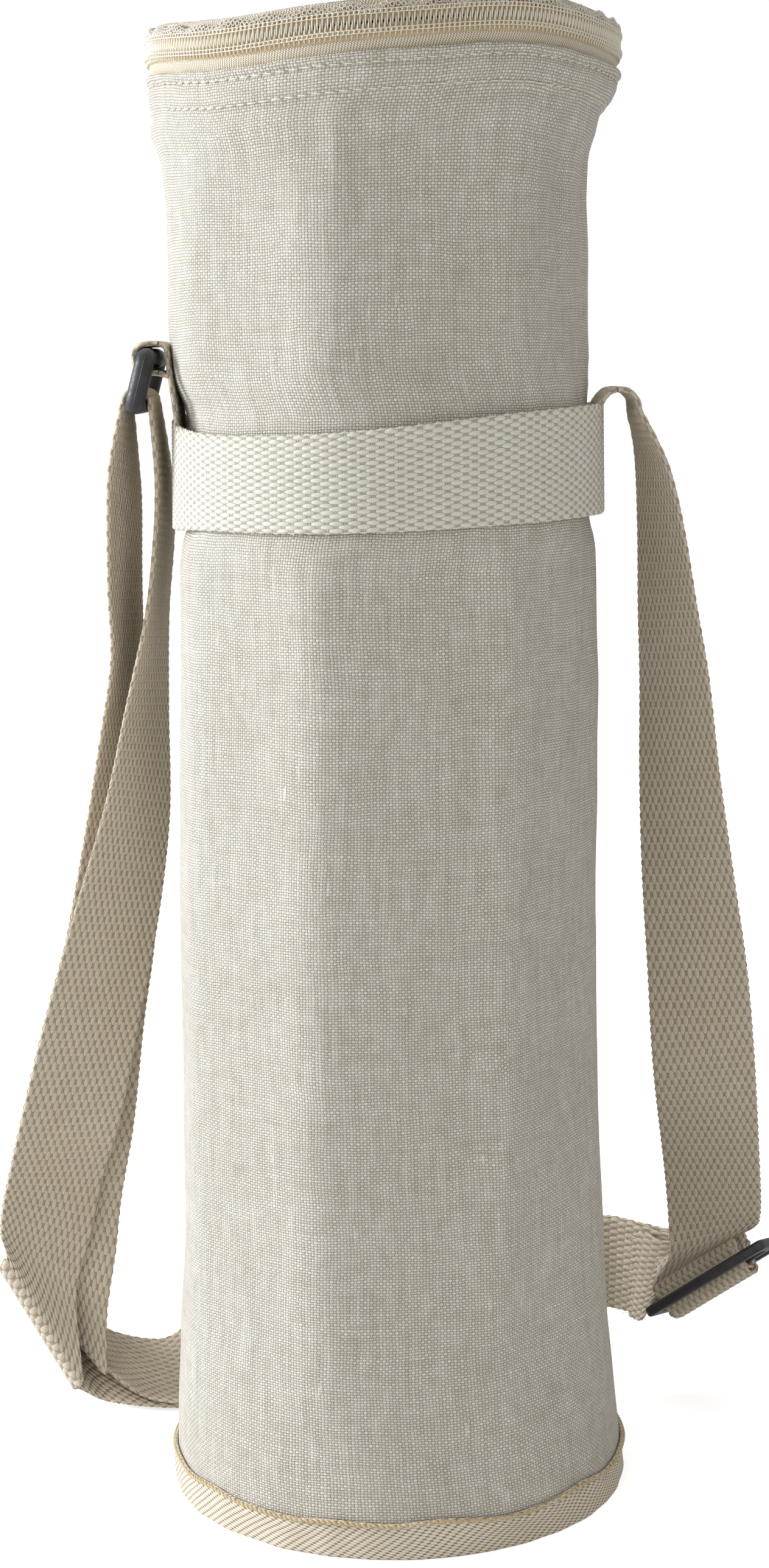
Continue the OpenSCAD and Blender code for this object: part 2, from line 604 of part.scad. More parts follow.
module tri_glide() {
    corner = glide_bar / 2;
    color(plastic_color) translate(glide_at) rotate(glide_turn) translate([0, 0, -glide_t / 2])
        difference() {
            round_plate(glide_len, glide_h, glide_t, corner);
            for (side = [-1, 1])
                translate([-glide_slot_len / 2,
                    side * (glide_mid + glide_slot) / 2 - glide_slot / 2, -overrun])
                cube([glide_slot_len, glide_slot, glide_t + 2 * overrun]);
        }
}

module strap_ring() {
    color(plastic_color) translate((ring_top + ring_low) / 2) rotate([0, ring_lean, 0]) {
        for (up = [-1, 1]) translate([0, ring_half, up * ring_pitch / 2]) rotate([90, 0, 0])
            cylinder(h = 2 * ring_half, d = ring_t, $fn = 32);
        for (side = [-1, 1]) translate([0, side * ring_half, -ring_pitch / 2])
            cylinder(h = ring_pitch, d = ring_t, $fn = 32);
        for (up = [-1, 1]) for (side = [-1, 1])
            translate([0, side * ring_half, up * ring_pitch / 2]) sphere(d = ring_t, $fn = 32);
    }
}

outer_canvas();
back_seam();
body_foam();
body_lining();
mouth_binding();
base_canvas();
base_board();
base_foam();
base_lining();
bottom_binding();
binding_fold();
zip_tape_lower();
zip_coil_lower();
hinge_patch_lower();
webbing_band();
strap_root();
tab_root();
lid_canvas();
lid_foam();
lid_lining();
lid_edge();
zip_tape_upper();
zip_coil_upper();
hinge_patch_upper();
zip_slider();
zip_pull();
shoulder_strap();
ring_tab();
tri_glide();
strap_ring();
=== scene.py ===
from math import atan2, cos, degrees, exp, hypot, pi, radians, sin, sqrt

import bmesh
import bpy
from mathutils import Matrix, Vector, noise


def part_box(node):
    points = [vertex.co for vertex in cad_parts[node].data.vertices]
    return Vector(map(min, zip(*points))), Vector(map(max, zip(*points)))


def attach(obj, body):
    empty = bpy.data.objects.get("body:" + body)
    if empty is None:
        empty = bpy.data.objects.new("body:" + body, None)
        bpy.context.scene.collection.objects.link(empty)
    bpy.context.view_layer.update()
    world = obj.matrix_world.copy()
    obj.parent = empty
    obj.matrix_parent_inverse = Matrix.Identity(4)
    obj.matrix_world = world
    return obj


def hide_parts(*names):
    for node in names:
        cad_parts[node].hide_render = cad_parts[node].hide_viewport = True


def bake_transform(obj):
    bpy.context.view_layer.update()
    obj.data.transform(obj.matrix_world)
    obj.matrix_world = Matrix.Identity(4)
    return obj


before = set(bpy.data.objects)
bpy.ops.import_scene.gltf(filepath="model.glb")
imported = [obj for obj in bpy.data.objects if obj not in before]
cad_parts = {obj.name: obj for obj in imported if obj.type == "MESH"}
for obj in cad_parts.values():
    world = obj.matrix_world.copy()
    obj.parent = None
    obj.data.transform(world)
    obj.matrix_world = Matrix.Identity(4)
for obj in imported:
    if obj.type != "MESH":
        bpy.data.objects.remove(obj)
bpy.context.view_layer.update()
mm = 0.001
fullTurn = 2 * pi
print("frame loaded")


# small node helpers

def feed(socket, value):
    if isinstance(value, bpy.types.NodeSocket):
        socket.id_data.links.new(value, socket)
    elif isinstance(value, tuple) and len(value) == 3 and socket.type == "RGBA":
        socket.default_value = (*value, 1)
    else:
        socket.default_value = value


def addNode(kind, inputs, **settings):
    # a node in the tree of the sockets that feed it; inputs are values by name or number
    source = next(value for value in inputs.values() if isinstance(value, bpy.types.NodeSocket))
    node = source.id_data.nodes.new(kind)
    for name, value in settings.items():
        setattr(node, name, value)
    for key, value in inputs.items():
        feed(node.inputs[key], value)
    return node


def calc(operation, *values):
    return addNode("ShaderNodeMath", dict(enumerate(values)), operation=operation).outputs[0]


def times(a, b):
    return calc("MULTIPLY", a, b)


def rippled(value):
    # one round swelling from 0 to 1 for each pi of the value
    return calc("ABSOLUTE", calc("SINE", value))


def choose(share, first, second):
    return calc("ADD", times(first, share), times(second, calc("SUBTRACT", 1, share)))


def blendColor(share, first, second, mode="MIX"):
    inputs = {0: share, 6: first, 7: second}
    return addNode("ShaderNodeMix", inputs, data_type="RGBA", blend_type=mode).outputs[2]


def spread(value, low, high, outLow=0.0, outHigh=1.0):
    inputs = dict(enumerate((value, low, high, outLow, outHigh)))
    return addNode("ShaderNodeMapRange", inputs).outputs[0]


def stain(color, pattern, low, high, tint, most=1.0):
    # tints the colour where the pattern runs from low to high
    return blendColor(spread(pattern, low, high, 0.0, most), color, tint, "MULTIPLY")


def stretched(place, scale):
    return addNode("ShaderNodeMapping", {"Vector": place, "Scale": scale}).outputs[0]


def split(place):
    return addNode("ShaderNodeSeparateXYZ", {0: place}).outputs[:2]


def joined(x, y):
    return addNode("ShaderNodeCombineXYZ", {0: x, 1: y}).outputs[0]


def grain(place, scale, detail=2.0, roughness=0.55):
    inputs = {"Vector": place, "Scale": scale, "Detail": detail, "Roughness": roughness}
    return addNode("ShaderNodeTexNoise", inputs).outputs[0]


def wobble(value, place, scale, amount):
    return calc("MULTIPLY_ADD", calc("SUBTRACT", grain(place, scale), 0.5), amount, value)


def newMaterial(name, byCloth=False):
    # gives the material and the place on the piece: in space, or on the piece's own cloth map in metres,
    # with x along or round the piece and y across or up it
    material = bpy.data.materials.new(name)
    material.use_nodes = True
    nodes = material.node_tree.nodes
    if not byCloth:
        return material, nodes.new("ShaderNodeTexCoord").outputs["Object"]
    cloth = nodes.new("ShaderNodeUVMap")
    cloth.uv_map = "cloth"
    return material, cloth.outputs[0]


def dressed(material, values, height=None, depth=0.0, strength=1.0):
    # feeds the shader's inputs by name, and adds a bump from the height pattern
    inputs = material.node_tree.nodes["Principled BSDF"].inputs
    for name, value in values.items():
        feed(inputs[name], value)
    if height is not None:
        bump = addNode("ShaderNodeBump", {"Strength": strength, "Distance": depth * mm, "Height": height})
        feed(inputs["Normal"], bump.outputs[0])
    return material


def dimmed(color, share):
    return tuple(share * part for part in color)


def plainWeave(place, pitch):
    # two sets of threads that pass over and under each other, each on a wandering line
    loose = 0.55 * pitch
    u, v = split(place)
    u = wobble(u, stretched(place, (1, 0.3, 1)), 520, loose)
    u = wobble(u, place, 45, pitch * 2)
    v = wobble(v, stretched(place, (0.45, 1, 1)), 480, loose * 1.3)
    v = wobble(v, place, 40, pitch * 3)
    across, up = calc("DIVIDE", u, pitch * 1.06), calc("DIVIDE", v, pitch * 0.86)
    warp, weft = calc("SINE", times(across, pi)), calc("SINE", times(up, pi))
    over = calc("GREATER_THAN", times(warp, weft), 0)
    warpSize, weftSize = calc("ABSOLUTE", warp), calc("ABSOLUTE", weft)
    onTop = times(times(warpSize, 0.66), calc("POWER", weftSize, 0.35))
    below = times(weftSize, calc("POWER", warpSize, 0.3))
    warpTone = grain(joined(calc("FLOOR", across), times(up, 0.05)), 0.9)
    weftTone = grain(joined(times(across, 0.05), calc("FLOOR", up)), 0.9)
    return choose(over, onTop, below), choose(over, warpTone, weftTone), over


def ovalWeave(place, pitchU, pitchV, slant=0.0, sizeU=0.37, sizeV=0.37):
    # rows of raised ovals laid like bricks; sizes are half lengths as shares of the pitch
    u, v = split(place)
    across = calc("DIVIDE", calc("MULTIPLY_ADD", v, slant, u), pitchU)
    up = calc("DIVIDE", v, pitchV)
    found = []
    for shift in (0.0, 0.5):
        parts = []
        for value, size in ((across, sizeU), (up, sizeV)):
            away = calc("SUBTRACT", calc("FRACT", calc("ADD", value, shift)), 0.5)
            parts.append(times(away, times(away, size ** -2)))
        found.append(calc("SUBTRACT", 1, calc("ADD", *parts)))
    return calc("POWER", calc("MAXIMUM", calc("MAXIMUM", *found), 0), 0.5)


# materials; noise scales are per metre, and the depths of the bumps are in mm

def canvasMaterial(name, pitch, light, gapShade):
    material, place = newMaterial(name, byCloth=True)
    height, tone, over = plainWeave(place, pitch)
    fibre = grain(place, 5200, 3, 0.7)
    blotch = grain(place, 30, 4)
    mottle = grain(stretched(place, (1, 0.7, 1)), 330, 3, 0.65)
    streak = grain(stretched(place, (1, 0.06, 1)), 620, 2)
    slub = spread(grain(stretched(place, (1, 0.22, 1)), 520, 1), 0.71, 0.82)
    knot = spread(grain(place, 210, 2), 0.72, 0.8)
    fleck = calc("GREATER_THAN", grain(place, 1100, 1), 0.83)
    color = blendColor(over, light, dimmed(light, 0.84))
    # painted shade: the low places between the threads take the gap shade colour
    color = blendColor(spread(height, 0.10, 0.62), gapShade, color)
    color = stain(color, tone, 0.25, 0.75, (0.77, 0.757, 0.725))
    color = stain(color, streak, 0.3, 0.7, (0.89, 0.88, 0.862), 0.9)
    color = stain(color, mottle, 0.32, 0.68, (0.86, 0.852, 0.825))
    color = stain(color, blotch, 0.3, 0.7, (0.91, 0.90, 0.88), 0.7)
    color = blendColor(times(slub, 0.4), color, light)
    color = blendColor(times(fleck, 0.4), color, (0.42, 0.33, 0.21))
    body = calc("ADD", calc("MULTIPLY_ADD", tone, 0.5, height), times(calc("ADD", slub, knot), 0.7))
    looks = {"Base Color": color, "Roughness": 0.92, "Sheen Weight": 0.12, "Sheen Roughness": 0.5}
    return dressed(material, looks, calc("MULTIPLY_ADD", fibre, 0.4, body), 0.2)


def webbingMaterial(name, light, gapShade, tint):
    material, place = newMaterial(name, byCloth=True)
    along, side = split(place)
    along = wobble(along, place, 260, 0.3 * mm)
    side = wobble(side, place, 310, 0.16 * mm)
    height = ovalWeave(joined(along, side), webbing["rowPitch"] * mm, webbing["columnPitch"] * mm, 0.0,
                       webbing["ovalLong"], webbing["ovalWide"])
    twist = calc("MULTIPLY_ADD", along, 0.24, side)
    strand = rippled(times(twist, pi / (webbing["strand"] * mm)))
    rung = rippled(times(along, pi / (webbing["rung"] * mm)))
    gap = spread(height, 0.0, 0.35, 1.0, 0.0)
    edge = times(spread(height, 0.08, 0.3), spread(height, 0.3, 0.5, 1.0, 0.0))
    # painted shade in the low places: between the rungs and a little on them, round each oval's rim and
    # between its strands; the oval tops keep the plain colour
    color = blendColor(spread(rung, 0.15, 0.75), gapShade, dimmed(light, 0.82))
    color = blendColor(spread(height, 0.2, 0.5), color, light)
    color = blendColor(times(edge, 0.75), color, gapShade)
    color = blendColor(spread(strand, 0.0, 0.5, 0.35, 0.0), color, gapShade)
    color = stain(color, grain(place, 460, 1), 0.3, 0.7, (0.88, 0.87, 0.84), 0.7)
    color = stain(color, grain(place, 36, 3), 0.3, 0.7, tint, 0.6)
    fine = calc("ADD", times(strand, 0.22), times(times(rung, gap), 0.5))
    mass = calc("MULTIPLY_ADD", height, 0.8, fine)
    looks = {"Base Color": color, "Roughness": 0.84, "Sheen Weight": 0.1, "Sheen Roughness": 0.5}
    return dressed(material, looks, calc("MULTIPLY_ADD", grain(place, 4200, 3, 0.7), 0.16, mass), 0.3)


def twillMaterial(name, light, gapShade, pitchU, pitchV, slant):
    material, place = newMaterial(name, byCloth=True)
    height = ovalWeave(place, pitchU * mm, pitchV * mm, slant)
    # painted shade: the low places of the twill take the shade colour
    color = blendColor(spread(height, 0.05, 0.7), gapShade, light)
    color = stain(color, grain(place, 60, 2), 0.3, 0.7, (0.92, 0.90, 0.85), 0.4)
    return dressed(material, {"Base Color": color, "Roughness": 0.7, "Sheen Weight": 0.1},
                   calc("MULTIPLY_ADD", grain(place, 5000, 2, 0.6), 0.2, height), 0.15)


def nylonMaterial(name, color, roughness):
    material, place = newMaterial(name)
    looks = {"Base Color": blendColor(grain(place, 300, 2), dimmed(color, 0.84), color),
             "Roughness": roughness, "Subsurface Weight": 0.25, "Subsurface Radius": (1.0, 0.8, 0.5),
             "Subsurface Scale": 0.6 * mm}
    return dressed(material, looks, grain(place, 2600, 2), 0.03)


def threadMaterial(name, color):
    material, place = newMaterial(name)
    wave = addNode("ShaderNodeTexWave", {"Vector": place, "Scale": 900}, bands_direction="DIAGONAL")
    twist = wave.outputs["Fac"]
    # painted shade darkens the grooves of the twist
    looks = {"Base Color": blendColor(twist, dimmed(color, 0.78), color), "Roughness": 0.75}
    return dressed(material, looks, twist, 0.05)


def foilMaterial(name):
    material, place = newMaterial(name)
    tone = grain(place, 260, 3)
    looks = {"Base Color": blendColor(tone, (0.62, 0.64, 0.66), (0.78, 0.79, 0.80)),
             "Roughness": spread(tone, 0.3, 0.7, 0.25, 0.42), "Metallic": 0.8}
    return dressed(material, looks, grain(place, 90, 5, 0.6), 1.2, 0.8)


def foamMaterial(name):
    material, place = newMaterial(name)
    cell = addNode("ShaderNodeTexVoronoi", {"Vector": place, "Scale": 1400}).outputs["Distance"]
    # painted shade darkens the hollow of each cell
    looks = {"Base Color": blendColor(cell, (0.80, 0.80, 0.79), (0.92, 0.92, 0.91)), "Roughness": 0.85}
    return dressed(material, looks, cell, 0.2)


def boardMaterial(name):
    material, place = newMaterial(name)
    fleck = grain(place, 700, 4)
    looks = {"Base Color": blendColor(fleck, (0.36, 0.33, 0.28), (0.58, 0.54, 0.47)), "Roughness": 0.9}
    return dressed(material, looks, fleck, 0.1)


def plasticMaterial(name):
    material, place = newMaterial(name)
    pebble = grain(place, 1700, 3, 0.6)
    dust = spread(grain(place, 120, 3), 0.35, 0.75)
    looks = {"Base Color": blendColor(dust, (0.012, 0.012, 0.014), (0.035, 0.035, 0.038)),
             "Roughness": spread(pebble, 0.3, 0.7, 0.38, 0.55)}
    return dressed(material, looks, pebble, 0.12, 0.7)


def metalMaterial(name):
    material, place = newMaterial(name)
    brushed = grain(stretched(place, (1, 1, 0.12)), 1500, 3)
    looks = {"Base Color": blendColor(grain(place, 220, 3), (0.56, 0.54, 0.50), (0.74, 0.73, 0.70)),
             "Roughness": spread(brushed, 0.3, 0.7, 0.2, 0.36), "Metallic": 1.0}
    return dressed(material, looks, brushed, 0.02)


# lengths in mm; the ovals' half lengths are shares of their pitches
webbing = {
    "width": 25, "thick": 1.3, "relief": 0.30, "step": 0.62, "across": 62,
    "columnPitch": 1.8, "rowPitch": 4.0, "ovalLong": 0.385, "ovalWide": 0.36,
    "strand": 0.34, "rung": 0.36,
}
# the second colour given to each cloth is painted shade, for the low places of its weave
canvasCloth = canvasMaterial("canvasCloth", 0.69 * mm, (1.0, 0.972, 0.905), (0.42, 0.38, 0.315))
strapCloth = webbingMaterial("strapCloth", (0.66, 0.585, 0.465), (0.25, 0.195, 0.13), (0.90, 0.875, 0.82))
bandCloth = webbingMaterial("bandCloth", (0.80, 0.775, 0.69), (0.36, 0.31, 0.235), (0.93, 0.92, 0.89))
bindingCloth = twillMaterial("bindingCloth", (0.76, 0.685, 0.56), (0.24, 0.185, 0.115), 2.1, 0.95, 0.95)
zipCloth = twillMaterial("zipCloth", (0.80, 0.73, 0.59), (0.24, 0.175, 0.10), 0.62, 0.8, 0.5)
coilNylon = nylonMaterial("coilNylon", (0.78, 0.73, 0.61), 0.3)
goldenCord = nylonMaterial("goldenCord", (0.60, 0.46, 0.26), 0.5)
creamThread = threadMaterial("creamThread", (0.86, 0.79, 0.65))
looseThread = threadMaterial("looseThread", (0.72, 0.68, 0.60))
liningFoil = foilMaterial("liningFoil")
paddingFoam = foamMaterial("paddingFoam")
baseBoardStock = boardMaterial("baseBoardStock")
blackPlastic = plasticMaterial("blackPlastic")
nickelPlate = metalMaterial("nickelPlate")
print("materials made")


# mesh helpers

def lookUp(value, pairs):
    if value <= pairs[0][0]:
        return pairs[0][1]
    for (x0, y0), (x1, y1) in zip(pairs, pairs[1:]):
        if value <= x1:
            return y0 + (y1 - y0) * (value - x0) / (x1 - x0)
    return pairs[-1][1]


def bell(distance, width):
    return exp(-(distance / width) ** 2)


def fade(value, low, high):
    share = min(1.0, max(0.0, (value - low) / (high - low)))
    return share * share * (3 - 2 * share)


def turnOf(place):
    # turn round the bag in degrees: 0 at the front, positive to the right
    return degrees(atan2(place[0], -place[1]))


def turnFrom(turn, at=0):
    # how far a turn is from another, from -180 to 180 degrees
    return (turn - at + 180) % 360 - 180


def outward(angle):
    # straight out of the bag at an angle in radians
    return Vector((sin(angle), -cos(angle), 0))


def ripple(*place):
    return noise.noise(Vector(place))


def ringRipple(turn, scale, third):
    # a smooth random value that runs round the bag
    angle = radians(turn)
    return ripple(sin(angle) * scale, cos(angle) * scale, third)


def arc(centreX, centreY, radiusX, radiusY, turns):
    return [(centreX + radiusX * cos(radians(a)), centreY + radiusY * sin(radians(a))) for a in turns]


def roundedBox(centreX, centreY, width, height, corner, pieces):
    # points of a rectangle with round corners, each corner in so many pieces
    points = []
    for sideX, sideY, start in ((1, 1, 0), (-1, 1, 90), (-1, -1, 180), (1, -1, 270)):
        points += arc(centreX + sideX * (width / 2 - corner), centreY + sideY * (height / 2 - corner),
                      corner, corner, evenly(start, start + 90, pieces))
    return points


def evenly(low, high, count):
    return [low + (high - low) * i / count for i in range(count + 1)]


def boxOf(node):
    # low and high corner of a CAD node in mm
    return [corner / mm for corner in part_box(node)]


# how far the rim stands above or below its plain height: turn, half width in degrees, height in mm
rimWaves = [(-41, 26, -2.2), (35, 25, 2.2)]


def rimLift(turn, height):
    lift = sum(amount * bell(turnFrom(turn, at), width) for at, width, amount in rimWaves)
    return lift * fade(height, 292, 324)


def liftRim(bm):
    # the whole lift from this radius outwards, and less of it towards the middle of the lid
    whole = 46 * mm
    for vert in bm.verts:
        reach = min(1.0, hypot(vert.co.x, vert.co.y) / whole)
        vert.co.z += rimLift(turnOf(vert.co), vert.co.z / mm) * reach * reach * mm


def asMesh(bm, name):
    mesh = bpy.data.meshes.new(name)
    bm.to_mesh(mesh)
    bm.free()
    return mesh


def finishPiece(name, mesh, material, body, nodes=(), sharp=None):
    if isinstance(mesh, bmesh.types.BMesh):
        mesh = asMesh(mesh, name)
    mesh.polygons.foreach_set("use_smooth", [True] * len(mesh.polygons))
    if sharp:
        mesh.set_sharp_from_angle(angle=radians(sharp))
    mesh.materials.append(material)
    piece = bpy.data.objects.new(name, mesh)
    bpy.context.scene.collection.objects.link(piece)
    if body:
        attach(piece, body)
    if nodes:
        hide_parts(*nodes)
    return piece


def wrapMap(bm, flatTop=False):
    # cloth map round the bag at its mean radius, with its cut at the back
    radius = 50.5 * mm
    layer = bm.loops.layers.uv.new("cloth")
    for face in bm.faces:
        centre = face.calc_center_median()
        flat = flatTop and abs(face.normal.z) > 0.8
        middle = atan2(centre.x, -centre.y)
        for loop in face.loops:
            place = loop.vert.co
            turn = atan2(place.x, -place.y)
            turn += fullTurn * round((middle - turn) / fullTurn)
            loop[layer].uv = (place.x, place.y) if flat else (turn * radius, place.z)


def joinedVerts(bm, places, closed=True):
    # new vertices and the edges between them
    verts = [bm.verts.new(place) for place in places]
    last = len(verts) if closed else len(verts) - 1
    return verts, [bm.edges.new((verts[i], verts[(i + 1) % len(verts)])) for i in range(last)]


def spunShell(outline, steps, start=0.0, sweep=fullTurn, closed=True):
    # outline is a loop or an open line of (radius, height) in mm, turned about the bag's axis
    bm = bmesh.new()
    first = outward(start)
    verts, edges = joinedVerts(bm, [first * r * mm + Vector((0, 0, z * mm)) for r, z in outline], closed)
    whole = abs(sweep - fullTurn) < 1e-6
    bmesh.ops.spin(bm, geom=verts + edges, cent=(0, 0, 0), axis=(0, 0, 1), dvec=(0, 0, 0),
                   angle=sweep, steps=steps, use_merge=whole, use_duplicate=False)
    bmesh.ops.remove_doubles(bm, verts=bm.verts, dist=1e-6)
    if not whole:
        rims = [edge for edge in bm.edges if edge.is_boundary]
        bmesh.ops.holes_fill(bm, edges=rims, sides=0)
    bmesh.ops.recalc_face_normals(bm, faces=bm.faces)
    return bm


def pushOut(bm, amount):
    # moves each vertex outwards by amount(turn in degrees, height in mm, radius in mm) millimetres
    for vert in bm.verts:
        radius = hypot(vert.co.x, vert.co.y)
        if radius < 1e-6:
            continue
        step = amount(turnOf(vert.co), vert.co.z / mm, radius / mm) * mm
        vert.co.x += vert.co.x / radius * step
        vert.co.y += vert.co.y / radius * step


def tubeMesh(name, points, radius, sides=3, closed=False):
    curve = bpy.data.curves.new(name, "CURVE")
    curve.dimensions = "3D"
    spline = curve.splines.new("POLY")
    spline.points.add(len(points) - 1)
    for knot, place in zip(spline.points, points):
        knot.co = (*place, 1)
    spline.use_cyclic_u = closed
    curve.bevel_depth = radius
    curve.bevel_resolution = sides
    curve.use_fill_caps = True
    holder = bpy.data.objects.new(name, curve)
    mesh = bpy.data.meshes.new_from_object(holder)
    bpy.data.objects.remove(holder)
    return mesh


def addCopy(bm, template, matrix):
    copy = template.copy()
    copy.transform(matrix)
    bm.from_mesh(copy)
    bpy.data.meshes.remove(copy)


def ringMatrix(turn, radius, height, roll=0.0, tip=0.0):
    # local x runs round the bag, y outwards and z up
    out = outward(radians(turn))
    up = Vector((0, 0, 1))
    base = Matrix((up.cross(out), out, up)).transposed().to_4x4()
    place = Matrix.Translation(out * radius * mm + up * (height + rimLift(turn, height)) * mm)
    return place @ base @ Matrix.Rotation(radians(roll), 4, "Y") @ Matrix.Rotation(radians(tip), 4, "X")


def beadTemplate(length, thick, high):
    bm = bmesh.new()
    bmesh.ops.create_uvsphere(bm, u_segments=8, v_segments=6, radius=0.5)
    bmesh.ops.rotate(bm, verts=bm.verts, cent=(0, 0, 0), matrix=Matrix.Rotation(pi / 2, 3, "Y"))
    bmesh.ops.scale(bm, verts=bm.verts, vec=(length * mm, thick * mm, high * mm))
    return asMesh(bm, "bead")


def slab(bm, edges, normal, thick, edge, segments):
    # fills the loops, thickens them about their plane and rounds the rims, all in mm
    axis = Vector([abs(part) for part in normal])
    bmesh.ops.triangle_fill(bm, edges=edges, use_beauty=True, use_dissolve=False, normal=normal)
    grown = bmesh.ops.extrude_face_region(bm, geom=bm.faces[:])["geom"]
    lifted = [part for part in grown if isinstance(part, bmesh.types.BMVert)]
    bmesh.ops.translate(bm, verts=lifted, vec=axis * thick)
    bmesh.ops.translate(bm, verts=bm.verts, vec=-axis * thick / 2)
    bmesh.ops.recalc_face_normals(bm, faces=bm.faces)
    rims = [rim for rim in bm.edges if len(rim.link_faces) == 2
            and abs((rim.verts[0].co - rim.verts[1].co).dot(axis)) < 1e-4
            and abs(rim.calc_face_angle(0) - pi / 2) < 0.1]
    bmesh.ops.bevel(bm, geom=rims, offset=edge, segments=segments, profile=0.5, affect="EDGES", material=-1)


# the bag's wall

bag = {
    "outline": [(0, 53.3), (8, 53.3), (20, 52.62), (32, 51.9), (50, 50.88), (68.1, 50.1), (106.8, 49.08),
                (155.1, 48.79), (208, 48.5), (224.5, 48.3), (229.5, 47.36), (254.5, 47.16), (259.5, 48.02),
                (280.2, 48.02), (300.2, 48.11), (309.9, 48.79), (317.9, 50.0), (323.9, 51.41), (327.6, 51.99),
                (333.6, 52.09)],
    # the canvas's thickness, and how deep the foam and the lining lie in the wall
    "canvas": 0.9, "foam": (1.05, 4.65), "lining": (5.05, 5.45), "foamTop": 324,
    # heights: the hem's top and low edge, its rolled top, the swell below it and the band's middle
    "hemTop": 327.5, "hemLow": 319.5, "hemRoll": 326.9, "hemSwell": 315.6, "bandMiddle": 242,
    "stitchRows": (325.7, 320.3),
    "steps": 300,
    # flat panels between soft corners: middle turn, half width, corner height, share flattened
    "panels": [(-43, 20, 1.15, 0.85), (7.5, 26.5, 0.7, 0.4), (58.5, 24.5, 1.1, 0.7), (-92, 26, 0.5, 0.25),
               (150, 30, 0.6, 0.30)],
    # soft upright folds: turn, half width in degrees, height in mm, from and to in mm
    "folds": [(-9.5, 3.0, 0.5, 292, 324), (-14, 5.0, -0.5, 262, 322), (-4, 5.0, -0.4, 268, 322),
              (14, 7, 0.5, 255, 318), (23, 4, -0.35, 30, 230), (31, 4, 0.4, 60, 235), (44, 9, -0.5, 20, 310),
              (52, 4, 0.6, 285, 323), (60, 3.5, -0.6, 275, 321), (70, 7, 0.9, 262, 321),
              (84, 5, -0.6, 268, 318), (88, 24, -1.0, 286, 334), (-70, 6, 0.6, 262, 320),
              (-84, 5, -0.5, 275, 318), (120, 15, 0.6, 30, 310), (-125, 15, 0.6, 30, 310),
              (160, 12, -0.5, 30, 310)],
    # how far the tube leans to the right, against height, in mm
    "lean": [(8, 0), (20, -0.8), (40, -1.5), (68, -1.2), (82, -1.5), (110, -2.0), (138, -2.0), (165, -1.3),
             (193, -0.9), (219, -1.1), (230, 0), (253.5, 0), (262, -2.1), (272, -2.5), (300, -2.3),
             (316, -1.9), (322, -0.5), (326, 0)],
    # how far the panels' middles shift, in degrees, above the band and low down on the right
    "upperShift": 6.0, "lowShift": 9.0,
    # how far the webbing's ends draw the wall in, in mm, and over how many degrees at each side
    "pinch": 1.45, "pinchFlat": 18, "pinchFade": 16,
    # slow swells of the cloth, in mm
    "slow": 0.75,
}


def wallRadius(height):
    return lookUp(height, bag["outline"])


def sideShare(turn):
    # 1 where the webbing ends lie under the band, at the left and the right
    away = abs(abs(turnFrom(turn)) - 90)
    return 1 - fade(away, bag["pinchFlat"], bag["pinchFlat"] + bag["pinchFade"])


def panelHeight(away, half, corner):
    # a flat panel between two corners on a round wall of 50 mm, and how the corner fades out beyond it
    if away < half:
        return (50 + corner) * cos(radians(half)) / cos(radians(away)) - 50
    return corner * exp(-(away - half) / 9)


def settle(turn, height):
    # how the cloth wall stands off its plain shape, in mm
    total = 0.0
    for at, width, amount, low, high in bag["folds"]:
        shown = fade(height, low, low + 25) * (1 - fade(height, high - 14, high))
        total += amount * bell(turnFrom(turn, at), width) * shown
    panelShare = fade(height, 12, 60) * (1 - fade(height, 300, 322))
    wander = 1.5 * ripple(height * 0.014, 0.3, 1.7) - bag["upperShift"] * fade(height, 235, 275) - 2.5
    lowShift = bag["lowShift"] * (1 - fade(height, 35, 120)) if turn > 5 else 0
    for at, half, corner, share in bag["panels"]:
        flat = sum(panelHeight(abs(turnFrom(turn + wander + lowShift + step, at)), half, corner)
                   for step in (-5, -2.5, 0, 2.5, 5)) / 5
        total += flat * share * panelShare
    total += bag["slow"] * ringRipple(90 - turn, 1.5, height * 0.017)
    total += 0.3 * bag["slow"] * ringRipple(90 - turn, 5, height * 0.06 + 9)
    # calm at the base and the rim, held flat by the band and drawn in where the webbing's ends are sewn
    calm = fade(height, 6, 22) * (1 - fade(height, 316, 327))
    free = fade(abs(height - bag["bandMiddle"]), 11, 24)
    return total * calm * (0.12 + 0.88 * free) - bag["pinch"] * sideShare(turn) * (1 - free)


def hemLift(turn, height):
    # how far the hem stands off the wall: pulled in at its stitches, full above and below them
    lift = 0.0
    if height > bag["hemLow"] - 0.9:
        lift += 0.95 * fade(height, bag["hemLow"] - 0.6, bag["hemLow"] + 0.6)
    for row in bag["stitchRows"]:
        pulled = 0.75 + 0.25 * cos(radians(turn) * 112)
        lift -= 0.7 * bell(height - row, 0.8) * pulled
    lift += 0.35 * bell(height - bag["hemRoll"], 0.9) + 0.8 * bell(height - bag["hemSwell"], 3.0)
    return lift + 0.3 * ringRipple(turn, 9, 3) * fade(height, 318, 322)


def leanOver(bm):
    for vert in bm.verts:
        vert.co.x += lookUp(vert.co.z / mm, bag["lean"]) * mm


